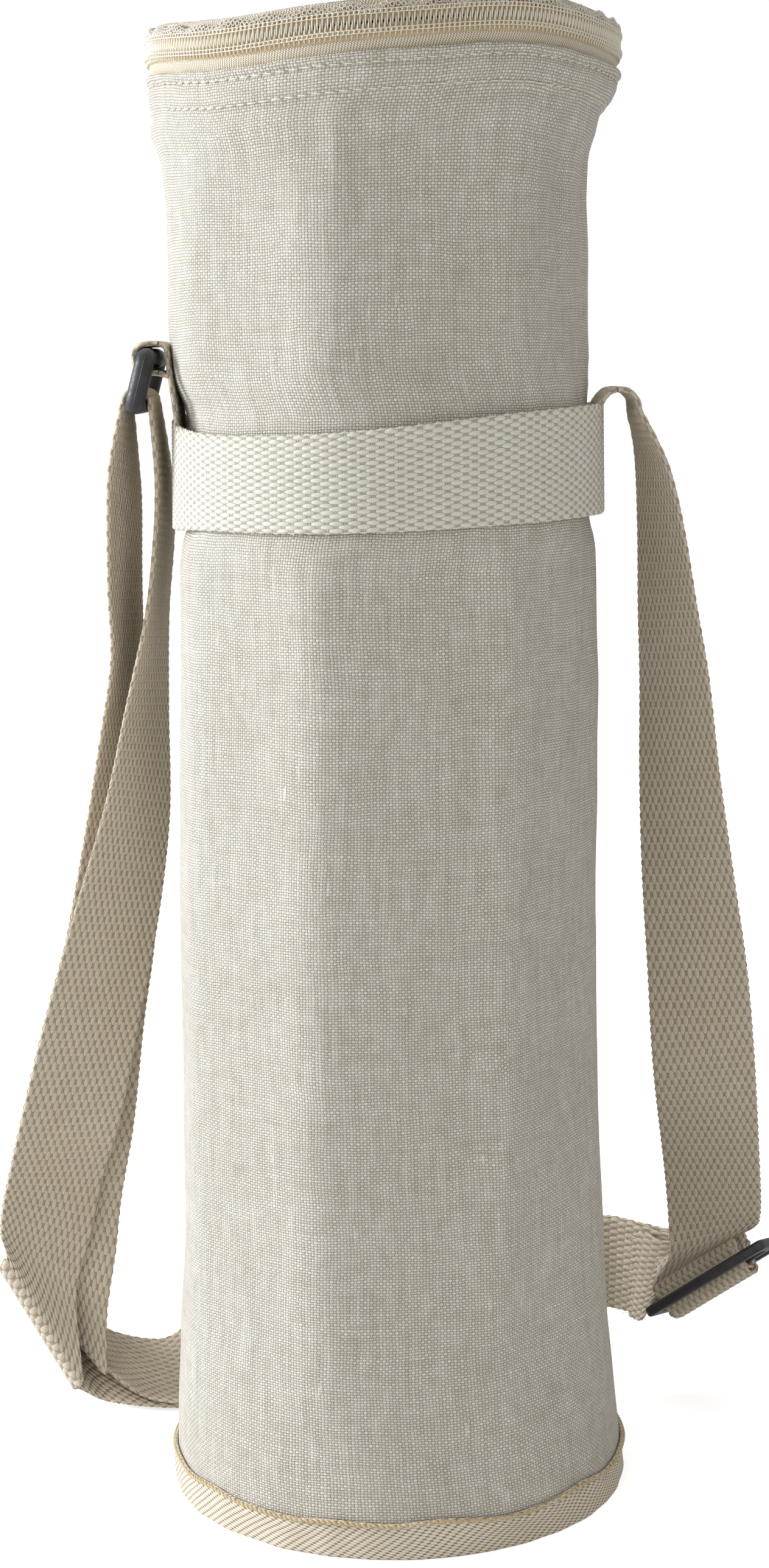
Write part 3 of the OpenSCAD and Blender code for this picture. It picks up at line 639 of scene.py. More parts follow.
def canvasShell():
    top, thick = bag["hemTop"], bag["canvas"]
    # rows every 2 mm up the wall, and closer ones over the hem
    heights = [1.0 + 2.0 * i for i in range(158)] + [317 + 0.42 * i for i in range(25)] + [top]
    outer = [(wallRadius(z), z) for z in heights if z <= top]
    inner = [(wallRadius(z) - thick, z) for z in heights[::-6] if z <= top - 0.4]
    rim = [(wallRadius(top) - 0.15, top + 0.35), (wallRadius(top) - thick / 2, top + 0.5),
           (wallRadius(top) - thick + 0.15, top + 0.3)]
    bm = spunShell(outer + rim + inner, bag["steps"])

    def amount(turn, height, radius):
        outside = radius > wallRadius(height) - 0.3
        return settle(turn, height) + (hemLift(turn, height) if outside else 0)

    pushOut(bm, amount)
    for vert in bm.verts:
        if vert.co.z > (top - 1.5) * mm:
            vert.co.z += 0.22 * mm * ringRipple(turnOf(vert.co), 14, 1)
    wrapMap(bm)
    leanOver(bm)
    liftRim(bm)
    finishPiece("outerCanvas", bm, canvasCloth, "bag", ["outer_canvas", "back_seam"])


def settleShell(bm, flatTop=False):
    # a layer of the wall follows its folds, its lean and its rim
    pushOut(bm, lambda turn, height, radius: settle(turn, height))
    wrapMap(bm, flatTop)
    leanOver(bm)
    liftRim(bm)


def layerShell(name, low, high, depths, material, node, step):
    heights = evenly(low, high, round((high - low) / step))
    outline = [(wallRadius(z) - depths[0], z) for z in heights]
    outline += [(wallRadius(z) - depths[1], z) for z in reversed(heights)]
    bm = spunShell(outline, 120)
    settleShell(bm, flatTop=True)
    return finishPiece(name, bm, material, "bag", [node])


canvasShell()
bodyFoam = layerShell("bodyFoam", boxOf("body_foam")[0].z, bag["foamTop"], bag["foam"], paddingFoam,
                      "body_foam", 4)
liningLow, liningHigh = boxOf("body_lining")
layerShell("bodyLining", liningLow.z, liningHigh.z, bag["lining"], liningFoil, "body_lining", 5)
print("bag wall made")


def mouthBindingPiece():
    low, high = boxOf("mouth_binding")
    wide, tall = 3.8, high.z - low.z + 0.1
    bm = spunShell(roundedBox(high.x - wide / 2, low.z + tall / 2, wide, tall, 0.25, 3), 160)
    wrapMap(bm, flatTop=True)
    liftRim(bm)
    finishPiece("mouthBinding", bm, bindingCloth, "bag", ["mouth_binding"])


def roundedDisc(name, radius, low, high, edge, material, body, node,
                crown=None, rings=14, steps=96):
    # a disc with a round rim; crown(share of the radius, turn) moves it up by so many mm
    inner = [radius * i / rings for i in range(rings)]
    outline = [(r, low) for r in inner + [radius - edge]]
    outline += arc(radius - edge, (low + high) / 2, edge, (high - low) / 2, range(-90, 91, 45))
    bm = spunShell(outline + [(r, high) for r in reversed(inner)], steps, closed=False)
    bmesh.ops.remove_doubles(bm, verts=bm.verts, dist=1e-5)
    if crown:
        for vert in bm.verts:
            share = hypot(vert.co.x, vert.co.y) / (radius * mm)
            vert.co.z += crown(share, turnOf(vert.co)) * mm
    wrapMap(bm, flatTop=True)
    liftRim(bm)
    return finishPiece(name, bm, material, body, [node])


def boxDisc(name, node, material, body, edge=None):
    # a disc that fills the box of its CAD node
    low, high = boxOf(node)
    edge = edge or 0.4 * (high.z - low.z)
    return roundedDisc(name, high.x, low.z, high.z, edge, material, body, node)


mouthBindingPiece()
boxDisc("baseFoam", "base_foam", paddingFoam, "bag")
boxDisc("baseLining", "base_lining", liningFoil, "bag")
boxDisc("baseCanvas", "base_canvas", canvasCloth, "bag")
boxDisc("baseBoard", "base_board", baseBoardStock, "bag", edge=0.5)


# bottom binding

binding = {"height": 7.5, "outer": 54.3, "inner": 46.6, "wander": 1.1, "ropePitch": 1.35,
           "ropeOut": 0.05, "ropeUp": 0.75, "stitches": 118}


def bindingLift(turn):
    # the sewn edge of the binding wanders up and down a little
    return binding["wander"] * ringRipple(turn, 3.2, 5)


def bindingRopePiece():
    # the selvedge of the binding, a thin rope of slanted turns
    strand = beadTemplate(1.7, 0.8, 0.75)
    bm = bmesh.new()
    radius = binding["outer"] + binding["ropeOut"]
    count = round(fullTurn * radius / binding["ropePitch"])
    for i in range(count):
        turn = 360 * i / count
        height = binding["height"] + binding["ropeUp"] + bindingLift(turn)
        addCopy(bm, strand, ringMatrix(turn, radius, height, roll=24))
    finishPiece("bindingRope", bm, goldenCord, "bag")


def bottomBindingPiece():
    top, outer, inner = binding["height"], binding["outer"], binding["inner"]
    wall = [(outer - 0.5, 0.0), (outer - 0.12, 0.25)] + [(outer, z) for z in evenly(0.8, top, 8)]
    ridge = arc(outer - 0.3, top + 0.6, 0.62, 0.62, range(-40, 181, 20))
    inside = [(outer - 0.9, top), (outer - 0.9, 1.2), (inner, 0.9), (inner, 0.0)]
    under = [(inner + 1.8 * i, 0.0) for i in range(1, 4)]
    bm = spunShell(wall + ridge + inside + under, 300)

    def amount(turn, height, radius):
        # waves and the pull of the stitches, on the outside only
        if radius < outer - 0.6:
            return 0
        wave = 0.5 * ringRipple(turn, 7, height * 0.12) - 0.15
        pucker = 0.14 * cos(radians(turn) * binding["stitches"]) * bell(height - top + 0.2, 0.9)
        return wave + pucker - 0.3 * bell(height - top + 0.2, 0.5)

    pushOut(bm, amount)
    wrapMap(bm, flatTop=True)
    for vert in bm.verts:
        vert.co.z += bindingLift(turnOf(vert.co)) * mm * fade(vert.co.z / mm, 3, 7)
    finishPiece("bottomBinding", bm, bindingCloth, "bag", ["bottom_binding", "binding_fold"])


bottomBindingPiece()
bindingRopePiece()
print("base made")


# stitches of the hem, in mm

hemStitch = {"pitch": 2.9, "long": 2.32, "thick": 0.46, "high": 0.368, "out": 0.12}


def onCanvas(turn, height):
    return wallRadius(height) + settle(turn, height) + hemLift(turn, height) + hemStitch["out"]


def hemStitches(name, row):
    template = beadTemplate(hemStitch["long"], hemStitch["thick"], hemStitch["high"])
    bm = bmesh.new()
    count = round(fullTurn * onCanvas(0, row) / hemStitch["pitch"])
    for i in range(count):
        turn = 360 * (i + 0.5) / count
        shake = ripple(i * 0.7, row, 1)
        addCopy(bm, template, ringMatrix(turn, onCanvas(turn, row), row + 0.12 * shake, roll=2.5 * shake))
    leanOver(bm)
    finishPiece(name, bm, creamThread, "bag")


for index, row in enumerate(bag["stitchRows"]):
    hemStitches(f"hemStitches{index + 1}", row)


# webbing

def ovals(along, side):
    # height of the barrel weave at a place on the webbing, from 0 to 1
    best = 0.0
    for shift in (0.0, 0.5):
        du = ((along / webbing["rowPitch"] + shift) % 1 - 0.5) / webbing["ovalLong"]
        dv = ((side / webbing["columnPitch"] + shift) % 1 - 0.5) / webbing["ovalWide"]
        best = max(best, 1 - du * du - dv * dv)
    return sqrt(max(0.0, best))


def cardinal(a, b, c, d, t):
    # a smooth curve through b and c, with t from 0 to 1
    bend, twist = 2 * a - 5 * b + 4 * c - d, 3 * b - a - 3 * c + d
    return 0.5 * (2 * b + (c - a) * t + bend * t * t + twist * t ** 3)


def smoothRoute(stops, step):
    # stops are (x, y, z, width direction) in mm; gives even stations about a step apart, and their step
    fine = []
    rows = [(Vector(s[:3]), Vector(s[3:6])) for s in stops]
    for i in range(len(rows) - 1):
        a, b, c, d = (rows[max(0, min(len(rows) - 1, k))] for k in (i - 1, i, i + 1, i + 2))
        fine += [tuple(cardinal(a[m], b[m], c[m], d[m], k / 12) for m in (0, 1)) for k in range(12)]
    fine.append(rows[-1])
    run = [0.0]
    for p, q in zip(fine, fine[1:]):
        run.append(run[-1] + (q[0] - p[0]).length)
    count = max(2, round(run[-1] / step))
    out, k = [], 0
    for i in range(count + 1):
        target = run[-1] * i / count
        while k < len(run) - 2 and run[k + 1] < target:
            k += 1
        t = (target - run[k]) / max(1e-9, run[k + 1] - run[k])
        out.append((fine[k][0].lerp(fine[k + 1][0], t), fine[k][1].lerp(fine[k + 1][1], t)))
    return out, run[-1] / count


def routeNormals(route):
    last = len(route) - 1
    found = []
    for i in range(last + 1):
        ahead, behind = route[min(last, i + 1)][0], route[max(0, i - 1)][0]
        found.append((ahead - behind).cross(route[i][1]).normalized())
    return found


def ribbon(name, route, step, body, nodes=(), first=0, last=None, material=strapCloth):
    # flat webbing along even stations; both faces and the selvedges are one closed skin
    last = len(route) - 1 if last is None else last
    wide, thick, across = webbing["width"], webbing["thick"], webbing["across"]
    normals = routeNormals(route)
    rows, columns = last - first, 2 * across
    bm = bmesh.new()
    bmesh.ops.create_grid(bm, x_segments=columns, y_segments=rows, size=1)
    layer = bm.loops.layers.uv.new("cloth")
    spot = {vert: (round((vert.co.x + 1) / 2 * columns), round((vert.co.y + 1) / 2 * rows))
            for vert in bm.verts}
    for face in bm.faces:
        for loop in face.loops:
            column, row = spot[loop.vert]
            share = column / across if column <= across else 2 - column / across
            loop[layer].uv = (step * (first + row) * mm, (share - 0.5) * wide * mm)
    for vert, (column, row) in spot.items():
        centre, width = route[first + row]
        normal = normals[first + row]
        front = column <= across
        side = 2 * (column / across if front else 2 - column / across) - 1
        along = step * (first + row)
        rim = min(1.0, (1 - abs(side)) / 0.06)
        swell = sqrt(max(0.0, 1 - (1 - rim) ** 2))
        high = thick / 2 - webbing["relief"] * (1 - ovals(along, side * wide / 2))
        high *= 0.0 if column % across == 0 else 0.25 + 0.75 * swell
        scallop = 1 + 0.012 * cos(fullTurn * along / webbing["rowPitch"] * 2) * abs(side) ** 8
        vert.co = (centre + width * (side * scallop * wide / 2) + normal * (high if front else -high)) * mm
    bmesh.ops.remove_doubles(bm, verts=bm.verts, dist=2e-6)
    bmesh.ops.holes_fill(bm, edges=[edge for edge in bm.edges if edge.is_boundary], sides=0)
    bmesh.ops.recalc_face_normals(bm, faces=bm.faces)
    finishPiece(name, bm, material, body, nodes, sharp=80)


# band round the tube

band = {
    "inner": 48.15,
    # its upper and lower edges wander: turn, height
    "upper": [(-180, 254.5), (-120, 254.0), (-85, 252.4), (-56, 249.3), (-25, 249.4), (0, 250.7), (30, 253.6),
              (67, 255.0), (110, 255.0), (180, 254.5)],
    "lower": [(-180, 229.5), (-120, 228.4), (-85, 227.2), (-56, 228.6), (-25, 228.3), (0, 228.8), (30, 229.7),
              (67, 230.3), (110, 230.0), (180, 229.5)],
}


def bandEdge(turn, pairs):
    # height of the band's edge, smoothed over a few degrees
    return sum(lookUp(turnFrom(turn + step), pairs) for step in (-12, -6, 0, 6, 12)) / 5


def bandStops():
    stops = []
    for turn in range(180, 541, 3):
        angle = radians(turn)
        out = outward(angle)
        radius = band["inner"] + webbing["thick"] / 2 + 0.15 * ringRipple(turn, 3, 5)
        upper, lower = bandEdge(turn, band["upper"]), bandEdge(turn, band["lower"])
        lean = 0.018 * sin(angle * 2 + 0.6) + 0.02 * ringRipple(180 - turn, 3, 1)
        width = out * lean + Vector((0, 0, (upper - lower) / webbing["width"]))
        stops.append((out.x * radius, out.y * radius, (upper + lower) / 2, *width))
    return stops


bandRoute, bandStep = smoothRoute(bandStops(), webbing["step"])
ribbon("webbingBand", bandRoute, bandStep, "bag", ["webbing_band"], material=bandCloth)
print("band made")


# strap, its ends and its wraps

glide = {
    "place": Vector((82.4015, 43.9895, 31.1895)),
    "along": Vector((0.760227, -0.2767, 0.587785)),
    "over": Vector((0.473322, 0.855642, -0.209389)),
    "up": Vector((-0.444996, 0.437395, 0.78145)),
    "bar": 3.6, "middle": 3.2, "slot": 4.4, "thick": 2.6, "slotLength": 31.2, "end": 3.1, "offset": -2.6,
    # room between the bar and the webbing, and between its two layers
    "gap": 0.3, "play": 0.27,
}
ring = {"top": Vector((-53.59, 0, 266.22)), "low": Vector((-56.34, 0, 255.98)), "length": 37, "bar": 4.4,
        "slack": 0.3}
foldRadius = ring["bar"] / 2 + ring["slack"] + webbing["thick"] / 2


def atGlide(over, up):
    place = glide["place"] + glide["along"] * glide["offset"] + glide["over"] * over + glide["up"] * up
    return (*place, *glide["along"])


def outerWrap():
    thick, t = glide["thick"], webbing["thick"]
    side, under = (part / 2 + glide["gap"] + 1.5 * t + glide["play"] for part in (glide["middle"], thick))
    return [atGlide(*spot) for spot in (
        (-side - 0.7 * t, 2.2 * thick), (-side, thick / 2), (-side, -thick / 2), (-0.8 * side, -0.9 * under),
        (0, -under), (0.8 * side, -0.9 * under), (side, -thick / 2), (side, 0.75 * thick),
        (side + 2.4 * t, 1.72 * thick))]


def innerWrap():
    thick, t = glide["thick"], webbing["thick"]
    side, under = (part / 2 + glide["gap"] + t / 2 for part in (glide["middle"], thick))
    return [atGlide(*spot) for spot in (
        (side + 3.45 * t, 2.6 * thick), (side, 1.1 * thick), (side, 0.4 * thick), (side, -thick / 3),
        (0.8 * side, -0.93 * under), (0, -under), (-0.8 * side, -0.93 * under), (-side, -thick / 3),
        (-side, thick / 2), (-0.9 * side, 1.2 * thick), (-0.1 * side, 2.7 * thick),
        (side + 2.3 * t, 4.2 * thick))]


def flatStops(widthY, places):
    # stops in the plane y = 0, with the webbing's width along y
    return [(x, 0, z, 0, widthY, 0) for x, z in places]


def ringFold():
    return flatStops(-1, arc(ring["low"].x, ring["low"].z, foldRadius, foldRadius, range(0, 181, 30)))


# stations of the shoulder strap in mm: the place, then the width direction
strap = {
    "rightLeg": [
        (51.8, 0, 258, 0, -1, 0), (53.3, 0, 258, 0, -1, 0),
        (54.8, 0, 257.3, 0, -1, 0), (56.2, 0, 255.5, 0, -1, 0),
        (56.7, 0, 252.6, 0.03, -1, 0), (58.9, 1, 246.9, 0.1, -0.99, 0.02),
        (61.2, 2.9, 238.8, 0.21, -0.98, 0.03), (63.3, 5.8, 225, 0.33, -0.94, 0.05),
        (65.2, 9.7, 207.5, 0.45, -0.89, 0.09), (67.3, 13.1, 189.7, 0.57, -0.82, 0.09),
        (69.1, 17, 166, 0.7, -0.7, 0.1), (71.5, 19.9, 141.7, 0.83, -0.54, 0.1),
        (74.2, 21.3, 117.2, 0.94, -0.32, 0.07), (76.2, 22.8, 92.7, 0.99, -0.14, 0.07),
        (79.3, 31.6, 65.2, 0.92, -0.39, 0.1), (80.5, 35.6, 54, 0.9, -0.42, 0.16),
        (80.9, 38, 47.5, 0.88, -0.41, 0.24), (80.6, 39.4, 42, 0.84, -0.34, 0.42),
    ],
    "runAndLeftOuter": [
        (79.8, 59.6, 27.4, 0.48, -0.23, 0.85), (73, 63.7, 25.6, 0.3, -0.25, 0.92),
        (65.1, 67.9, 25.6, 0.1, -0.1, 0.99), (53.1, 72.5, 26.1, 0, 0, 1),
        (32, 70.6, 21.7, 0, 0.14, 0.99), (10, 69.1, 17.7, 0, 0.24, 0.97),
        (-11.3, 67.9, 14.9, -0.1, 0.39, 0.91), (-31, 62.4, 12, -0.28, 0.55, 0.79),
        (-47.4, 53.8, 8.1, -0.49, 0.68, 0.54), (-55.2, 47.6, 5.5, -0.41, 0.85, 0.33),
        (-61.3, 46.5, 5.2, -0.43, 0.96, 0.32), (-69, 47, 6.3, -0.52, 0.98, 0.4),
        (-77.3, 48.1, 9.1, -0.66, 0.95, 0.62), (-85.2, 47, 13.6, -0.78, 0.68, 0.96),
        (-90.5, 36.4, 21.9, -0.71, -0.18, 1.38), (-91.4, 33.5, 23, -0.71, -0.18, 1.38),
        (-90.7, 31, 24.8, -0.71, -0.18, 1.38), (-89.1, 30, 27.4, -0.71, -0.18, 1.38),
        (-90.2, 29.9, 41.2, -0.71, -0.29, 0.74), (-87.9, 31.1, 52.5, -0.84, -0.36, 0.41),
        (-85.4, 31.6, 63.4, -0.91, -0.39, 0.12), (-81, 27.8, 78.6, -0.98, -0.21, 0.03),
        (-75.2, 29.2, 102.8, -0.91, -0.4, 0.1), (-68.1, 29.7, 130.8, -0.78, -0.61, 0.16),
        (-62.2, 29, 156.9, -0.56, -0.8, 0.21), (-58.9, 26.8, 182.7, -0.32, -0.94, 0.12),
        (-55.4, 20.4, 206.2, -0.12, -0.99, 0.09), (-53, 14.5, 223.7, -0.09, -0.99, 0.1),
        (-52.2, 10, 233.1, -0.07, -1, 0.05), (-52.1, 6, 241.7, -0.05, -1, 0.03),
    ],
    "leftInnerAndRun": [
        (-60.4, 1.9, 244, -0.14, -0.98, 0.14), (-61.1, 5, 234.1, -0.21, -0.97, 0.14),
        (-62.6, 16.3, 212.7, -0.22, -0.97, 0.07), (-63.4, 26.2, 194.2, -0.22, -0.97, 0.1),
        (-65.9, 35.7, 173.6, -0.36, -0.93, 0.12), (-67.7, 40.2, 150.1, -0.61, -0.78, 0.14),
        (-70.4, 40.4, 125.3, -0.83, -0.54, 0.12), (-74.9, 39.2, 100.5, -0.92, -0.39, 0.09),
        (-78.4, 38.2, 75.4, -0.97, -0.24, 0.05), (-82.1, 38.7, 57.2, -0.97, -0.19, 0.17),
        (-83.3, 38.2, 45.9, -0.94, -0.07, 0.33), (-84.5, 37.6, 34.2, -0.84, 0.04, 0.66),
        (-84.3, 38.3, 23.2, -0.78, 0.12, 0.97), (-84.9, 39.1, 21.7, -0.78, 0.12, 0.97),
        (-84.7, 40.5, 20.6, -0.78, 0.12, 0.97), (-83.8, 41.7, 20.4, -0.78, 0.12, 0.97),
        (-79.4, 44.7, 15.1, -0.78, 0.47, 0.79), (-74.3, 45.5, 11.2, -0.7, 0.73, 0.61),
        (-68.2, 44.7, 8.6, -0.54, 0.87, 0.43), (-61.1, 43.6, 7.6, -0.4, 0.9, 0.36),
        (-55, 44.3, 7.8, -0.4, 0.83, 0.39), (-46.5, 48.7, 9.9, -0.44, 0.63, 0.58),
        (-30.1, 57.6, 13.1, -0.25, 0.5, 0.83), (-11.2, 64, 15.1, -0.09, 0.36, 0.93),
        (10, 66.9, 18.3, 0, 0.24, 0.97), (32.1, 68.3, 21.9, 0, 0.14, 0.99),
        (52.9, 70.1, 26.1, 0, 0, 1), (64.2, 65.8, 25.6, 0.1, -0.1, 0.99),
        (71.4, 61.3, 25.6, 0.3, -0.25, 0.92), (76.6, 57.1, 28.7, 0.48, -0.23, 0.85),
    ],
    "tail": [
        (69.5, 58.5, 25.3, 0.3, -0.25, 0.92), (63.1, 63.5, 25.3, 0.1, -0.1, 0.99),
    ],
}
strapStops = strap["rightLeg"] + outerWrap() + strap["runAndLeftOuter"] + ringFold() \
    + strap["leftInnerAndRun"] + innerWrap() + strap["tail"]
strapRoute, strapStep = smoothRoute(strapStops, webbing["step"])


def rowNear(stop):
    place = Vector(stop[:3])
    return min(range(len(strapRoute)), key=lambda i: (strapRoute[i][0] - place).length)


behindOuter, atRing, behindInner = (rowNear(stop) for stop in (
    strap["runAndLeftOuter"][5], ringFold()[3], strap["leftInnerAndRun"][23]))
cuts = (0, behindOuter, atRing, behindInner, len(strapRoute) - 1)
for name, first, last, nodes in zip(("strapRight", "strapOuter", "strapInner", "strapEnd"), cuts, cuts[1:],
                                    (["shoulder_strap"], [], [], [])):
    ribbon(name, strapRoute, strapStep, "strap", nodes, first, last)
print(f"strap made, {strapStep * cuts[-1]:.0f} mm long")

rootStops = flatStops(-1, [(47.35, 233), (47.3, 243), (47.4, 251.5), (47.8, 254.3), (48.7, 256.1),
                           (50.1, 257.5), (51.52, 258)])
tabRootStops = flatStops(1, [(-47.35, 233), (-47.3, 243), (-47.5, 253), (-48.3, 259.5), (-48.9, 264.4),
                             (-49.1, 266.8), (-49.6, 268.7), (-51.02, 269.4)])
tabLeafStops = flatStops(1, [(-49.0, 262.2), (-50.0, 262.5), (-51.0, 262.8)])
ringTabStops = flatStops(1, [(-51.3, ring["top"].z + foldRadius),
                             *arc(ring["top"].x, ring["top"].z, foldRadius, foldRadius, range(90, 271, 30)),
                             (-51.3, ring["top"].z - foldRadius - 0.25)])
for name, stops, body, nodes in (("strapRoot", rootStops, "bag", ["strap_root"]),
                                 ("tabRoot", tabRootStops, "bag", ["tab_root"]),
                                 ("tabLeaf", tabLeafStops, "bag", []),
                                 ("ringTab", ringTabStops, "strap", ["ring_tab"])):
    ribbon(name, *smoothRoute(stops, 0.5), body, nodes)
print("webbing ends made")


# ring and glide

def ringPath(grow=0.0):
    # rounded rectangle through the middle of the ring's bar, or so much outside it
    middle, rise = (ring["top"] + ring["low"]) / 2, (ring["top"] - ring["low"]) / 2
    wide, tall = ring["length"] - ring["bar"] + 2 * grow, 2 * (rise.length + grow)
    places = roundedBox(0, 0, wide, tall, 1.7 + grow, 6)
    return [(middle + Vector((0, y, 0)) + rise.normalized() * up) * mm for y, up in places]


def strapRingPiece():
    bm = bmesh.new()
    bm.from_mesh(tubeMesh("ringBar", ringPath(), ring["bar"] / 2 * mm, 7, closed=True))
    bm.from_mesh(tubeMesh("ringSeam", ringPath(ring["bar"] / 2 - 0.05), 0.14 * mm, 2, closed=True))
    bmesh.ops.remove_doubles(bm, verts=bm.verts, dist=1e-6)
    bmesh.ops.recalc_face_normals(bm, faces=bm.faces)
    finishPiece("strapRing", bm, blackPlastic, "strap", ["strap_ring"])


def triGlidePiece():
    bm = bmesh.new()
    pitch = glide["middle"] / 2 + glide["slot"] / 2
    tall = glide["middle"] + 2 * glide["slot"] + 2 * glide["bar"]
    edges = []
    for y, length, height, corner in ((0, glide["slotLength"] + 2 * glide["end"], tall, 1.8),
                                      (-pitch, glide["slotLength"], glide["slot"], 0.8),
                                      (pitch, glide["slotLength"], glide["slot"], 0.8)):
        places = [(*place, 0) for place in roundedBox(0, y, length, height, corner, 4)]
        edges += joinedVerts(bm, places)[1]
    slab(bm, edges, (0, 0, 1), glide["thick"], 0.75, 4)
    frameMatrix = Matrix((glide["along"], glide["over"], glide["up"])).transposed().to_4x4()
    bm.transform(Matrix.Scale(mm, 4) @ Matrix.Translation(glide["place"]) @ frameMatrix)
    bmesh.ops.recalc_face_normals(bm, faces=bm.faces)
    finishPiece("triGlide", bm, blackPlastic, "glide", ["tri_glide"], sharp=50)


strapRingPiece()
triGlidePiece()
print("ring and glide made")


# zip

zipper = {
    "middle": 333.6, "gap": 0.8, "coilHeight": 3.1, "meshedHeight": 4.7, "coilOut": 53.19, "pitch": 1.12,
    "tapeOut": 51.09, "tapeThick": 0.6, "tapeLow": 317.5, "turnHeight": 337.7, "turnWidth": 7,
    "from": -129.0, "to": 129.0, "parted": 118.5,
    "stitchPitch": 1.1, "lowerStitches": 331.75, "upperStitches": 335.55,
    # half of the flat cord's thickness and height, and how far its middle is from the coil's far side
    "cordThick": 0.45, "cordHigh": 1.62, "cordDeep": 1.72,
}


def tapeLowerPiece():
    out, thick = zipper["tapeOut"], zipper["tapeThick"]
    low, high = zipper["tapeLow"], zipper["middle"] - zipper["gap"] / 2
    front = [(wallRadius(low) - 1.3, low), (wallRadius(322) - 1.2, 322), (out - 0.3, 326),
             (out + 0.35, 327.6), (out + 0.95, 328.8), (out + 1.3, 329.9), (out + 1.2, 330.4),
             (out + 0.4, 330.8), (out, 331.4), (out, high)]
    bm = spunShell(front + [(r - thick, z) for r, z in reversed(front)], 200)
    settleShell(bm)
    finishPiece("zipTapeLower", bm, zipCloth, "bag", ["zip_tape_lower"])


def tapeUpperPiece():
    out, thick = zipper["tapeOut"], zipper["tapeThick"]
    low, turn = zipper["middle"] + zipper["gap"] / 2, zipper["turnHeight"]
    inner = out - thick - zipper["turnWidth"]
    bm = spunShell([(out - thick, low), (out, low), (out, turn + thick - 0.2), (out - 0.2, turn + thick),
                    (inner, turn + thick), (inner, turn), (out - thick, turn)], 200)
    wrapMap(bm)
    liftRim(bm)
    finishPiece("zipTapeUpper", bm, zipCloth, "lid", ["zip_tape_upper"])


def zipTurns(radius, pitch, shift=0.5):
    # turns of what repeats along the zip, about a pitch apart at that radius
    count = round(radians(zipper["to"] - zipper["from"]) * radius / pitch)
    return [zipper["from"] + (zipper["to"] - zipper["from"]) * (i + shift) / count for i in range(count)]


def coilPiece(name, side, body, node):
    # one bar and one leg per turn of the coil; bars of the two halves lie between each other at the
    # middle line, apart from the last turns at each end: they stay parted, with room for the slider's bridge
    parted, meshed = zipper["coilHeight"], zipper["meshedHeight"]
    bars = {high: beadTemplate(0.42, 0.85, high) for high in (parted, meshed)}
    leg = beadTemplate(0.5, 0.7, parted)
    bm = bmesh.new()
    radius = zipper["coilOut"] - 0.45
    far = zipper["middle"] + side * (zipper["gap"] / 2 + parted)
    for turn in zipTurns(radius, zipper["pitch"], 0.5 + 0.25 * side):
        high = meshed if abs(turn) < zipper["parted"] else parted
        roll = 3 if high == meshed else 0
        addCopy(bm, bars[high], ringMatrix(turn, radius, far - side * high / 2, roll))
        addCopy(bm, leg, ringMatrix(turn + 0.3, radius - 0.7, far - side * parted / 2, roll=-14))
    finishPiece(name, bm, coilNylon, body, [node])


def cordPiece(name, side, body):
    # the flat cord that runs inside the coil
    height = zipper["middle"] + side * (zipper["gap"] / 2 + zipper["coilHeight"] - zipper["cordDeep"])
    radius = zipper["coilOut"] - 1.05
    outline = arc(radius, height, zipper["cordThick"], zipper["cordHigh"], range(0, 360, 24))
    bm = spunShell(outline, 180, radians(zipper["from"]), radians(zipper["to"] - zipper["from"]))
    liftRim(bm)
    finishPiece(name, bm, goldenCord, body)


def chainStitch(name, height, body):
    # two rails of thread, tied by a slanted rung at each stitch
    rail, rung = beadTemplate(1.3, 0.4, 0.3), beadTemplate(0.36, 0.42, 0.8)
    bm = bmesh.new()
    radius = zipper["coilOut"] + 0.02
    for index, turn in enumerate(zipTurns(radius, zipper["stitchPitch"])):
        shake = 0.05 * ripple(index * 0.9, height, 2)
        for side in (-1, 1):
            addCopy(bm, rail, ringMatrix(turn, radius, height + side * 0.36 + shake, roll=-4))
        addCopy(bm, rung, ringMatrix(turn, radius + 0.06, height + shake, roll=28))
    finishPiece(name, bm, creamThread, body)


tapeLowerPiece()
tapeUpperPiece()
coilPiece("zipTeethLower", -1, "bag", "zip_coil_lower")
coilPiece("zipTeethUpper", 1, "lid", "zip_coil_upper")
cordPiece("zipCordLower", -1, "bag")
cordPiece("zipCordUpper", 1, "lid")
chainStitch("zipStitchLower", zipper["lowerStitches"], "bag")
chainStitch("zipStitchUpper", zipper["upperStitches"], "lid")
print("zip made")


# hinge patch at the back; its turns are in degrees from the right

patch = {"inner": 51.19, "thick": 0.8, "from": 40.9, "to": 139.1, "middle": 18.0,
         "low": 327.6, "lowTop": 333.4, "highLow": 333.8, "top": 337.1,
         "rowStep": 0.7, "turnStep": 1.5}


def patchStrip(bm, low, high, start, end):
    inner, outer = patch["inner"], patch["inner"] + patch["thick"]
    heights = evenly(low, high, max(2, round((high - low) / patch["rowStep"])))
    outline = [(outer, z) for z in heights] + [(inner, z) for z in reversed(heights)]
    steps = max(6, round((end - start) / patch["turnStep"]))
    strip = spunShell(outline, steps, radians(start + 90), radians(end - start))
    wrapMap(strip)
    spare = asMesh(strip, "spare")
    bm.from_mesh(spare)
    bpy.data.meshes.remove(spare)


def patchWings(name, low, high, body, node):
    bm = bmesh.new()
    patchStrip(bm, low, high, patch["from"], 90 - patch["middle"])
    patchStrip(bm, low, high, 90 + patch["middle"], patch["to"])
    finishPiece(name, bm, canvasCloth, body, [node], sharp=50)


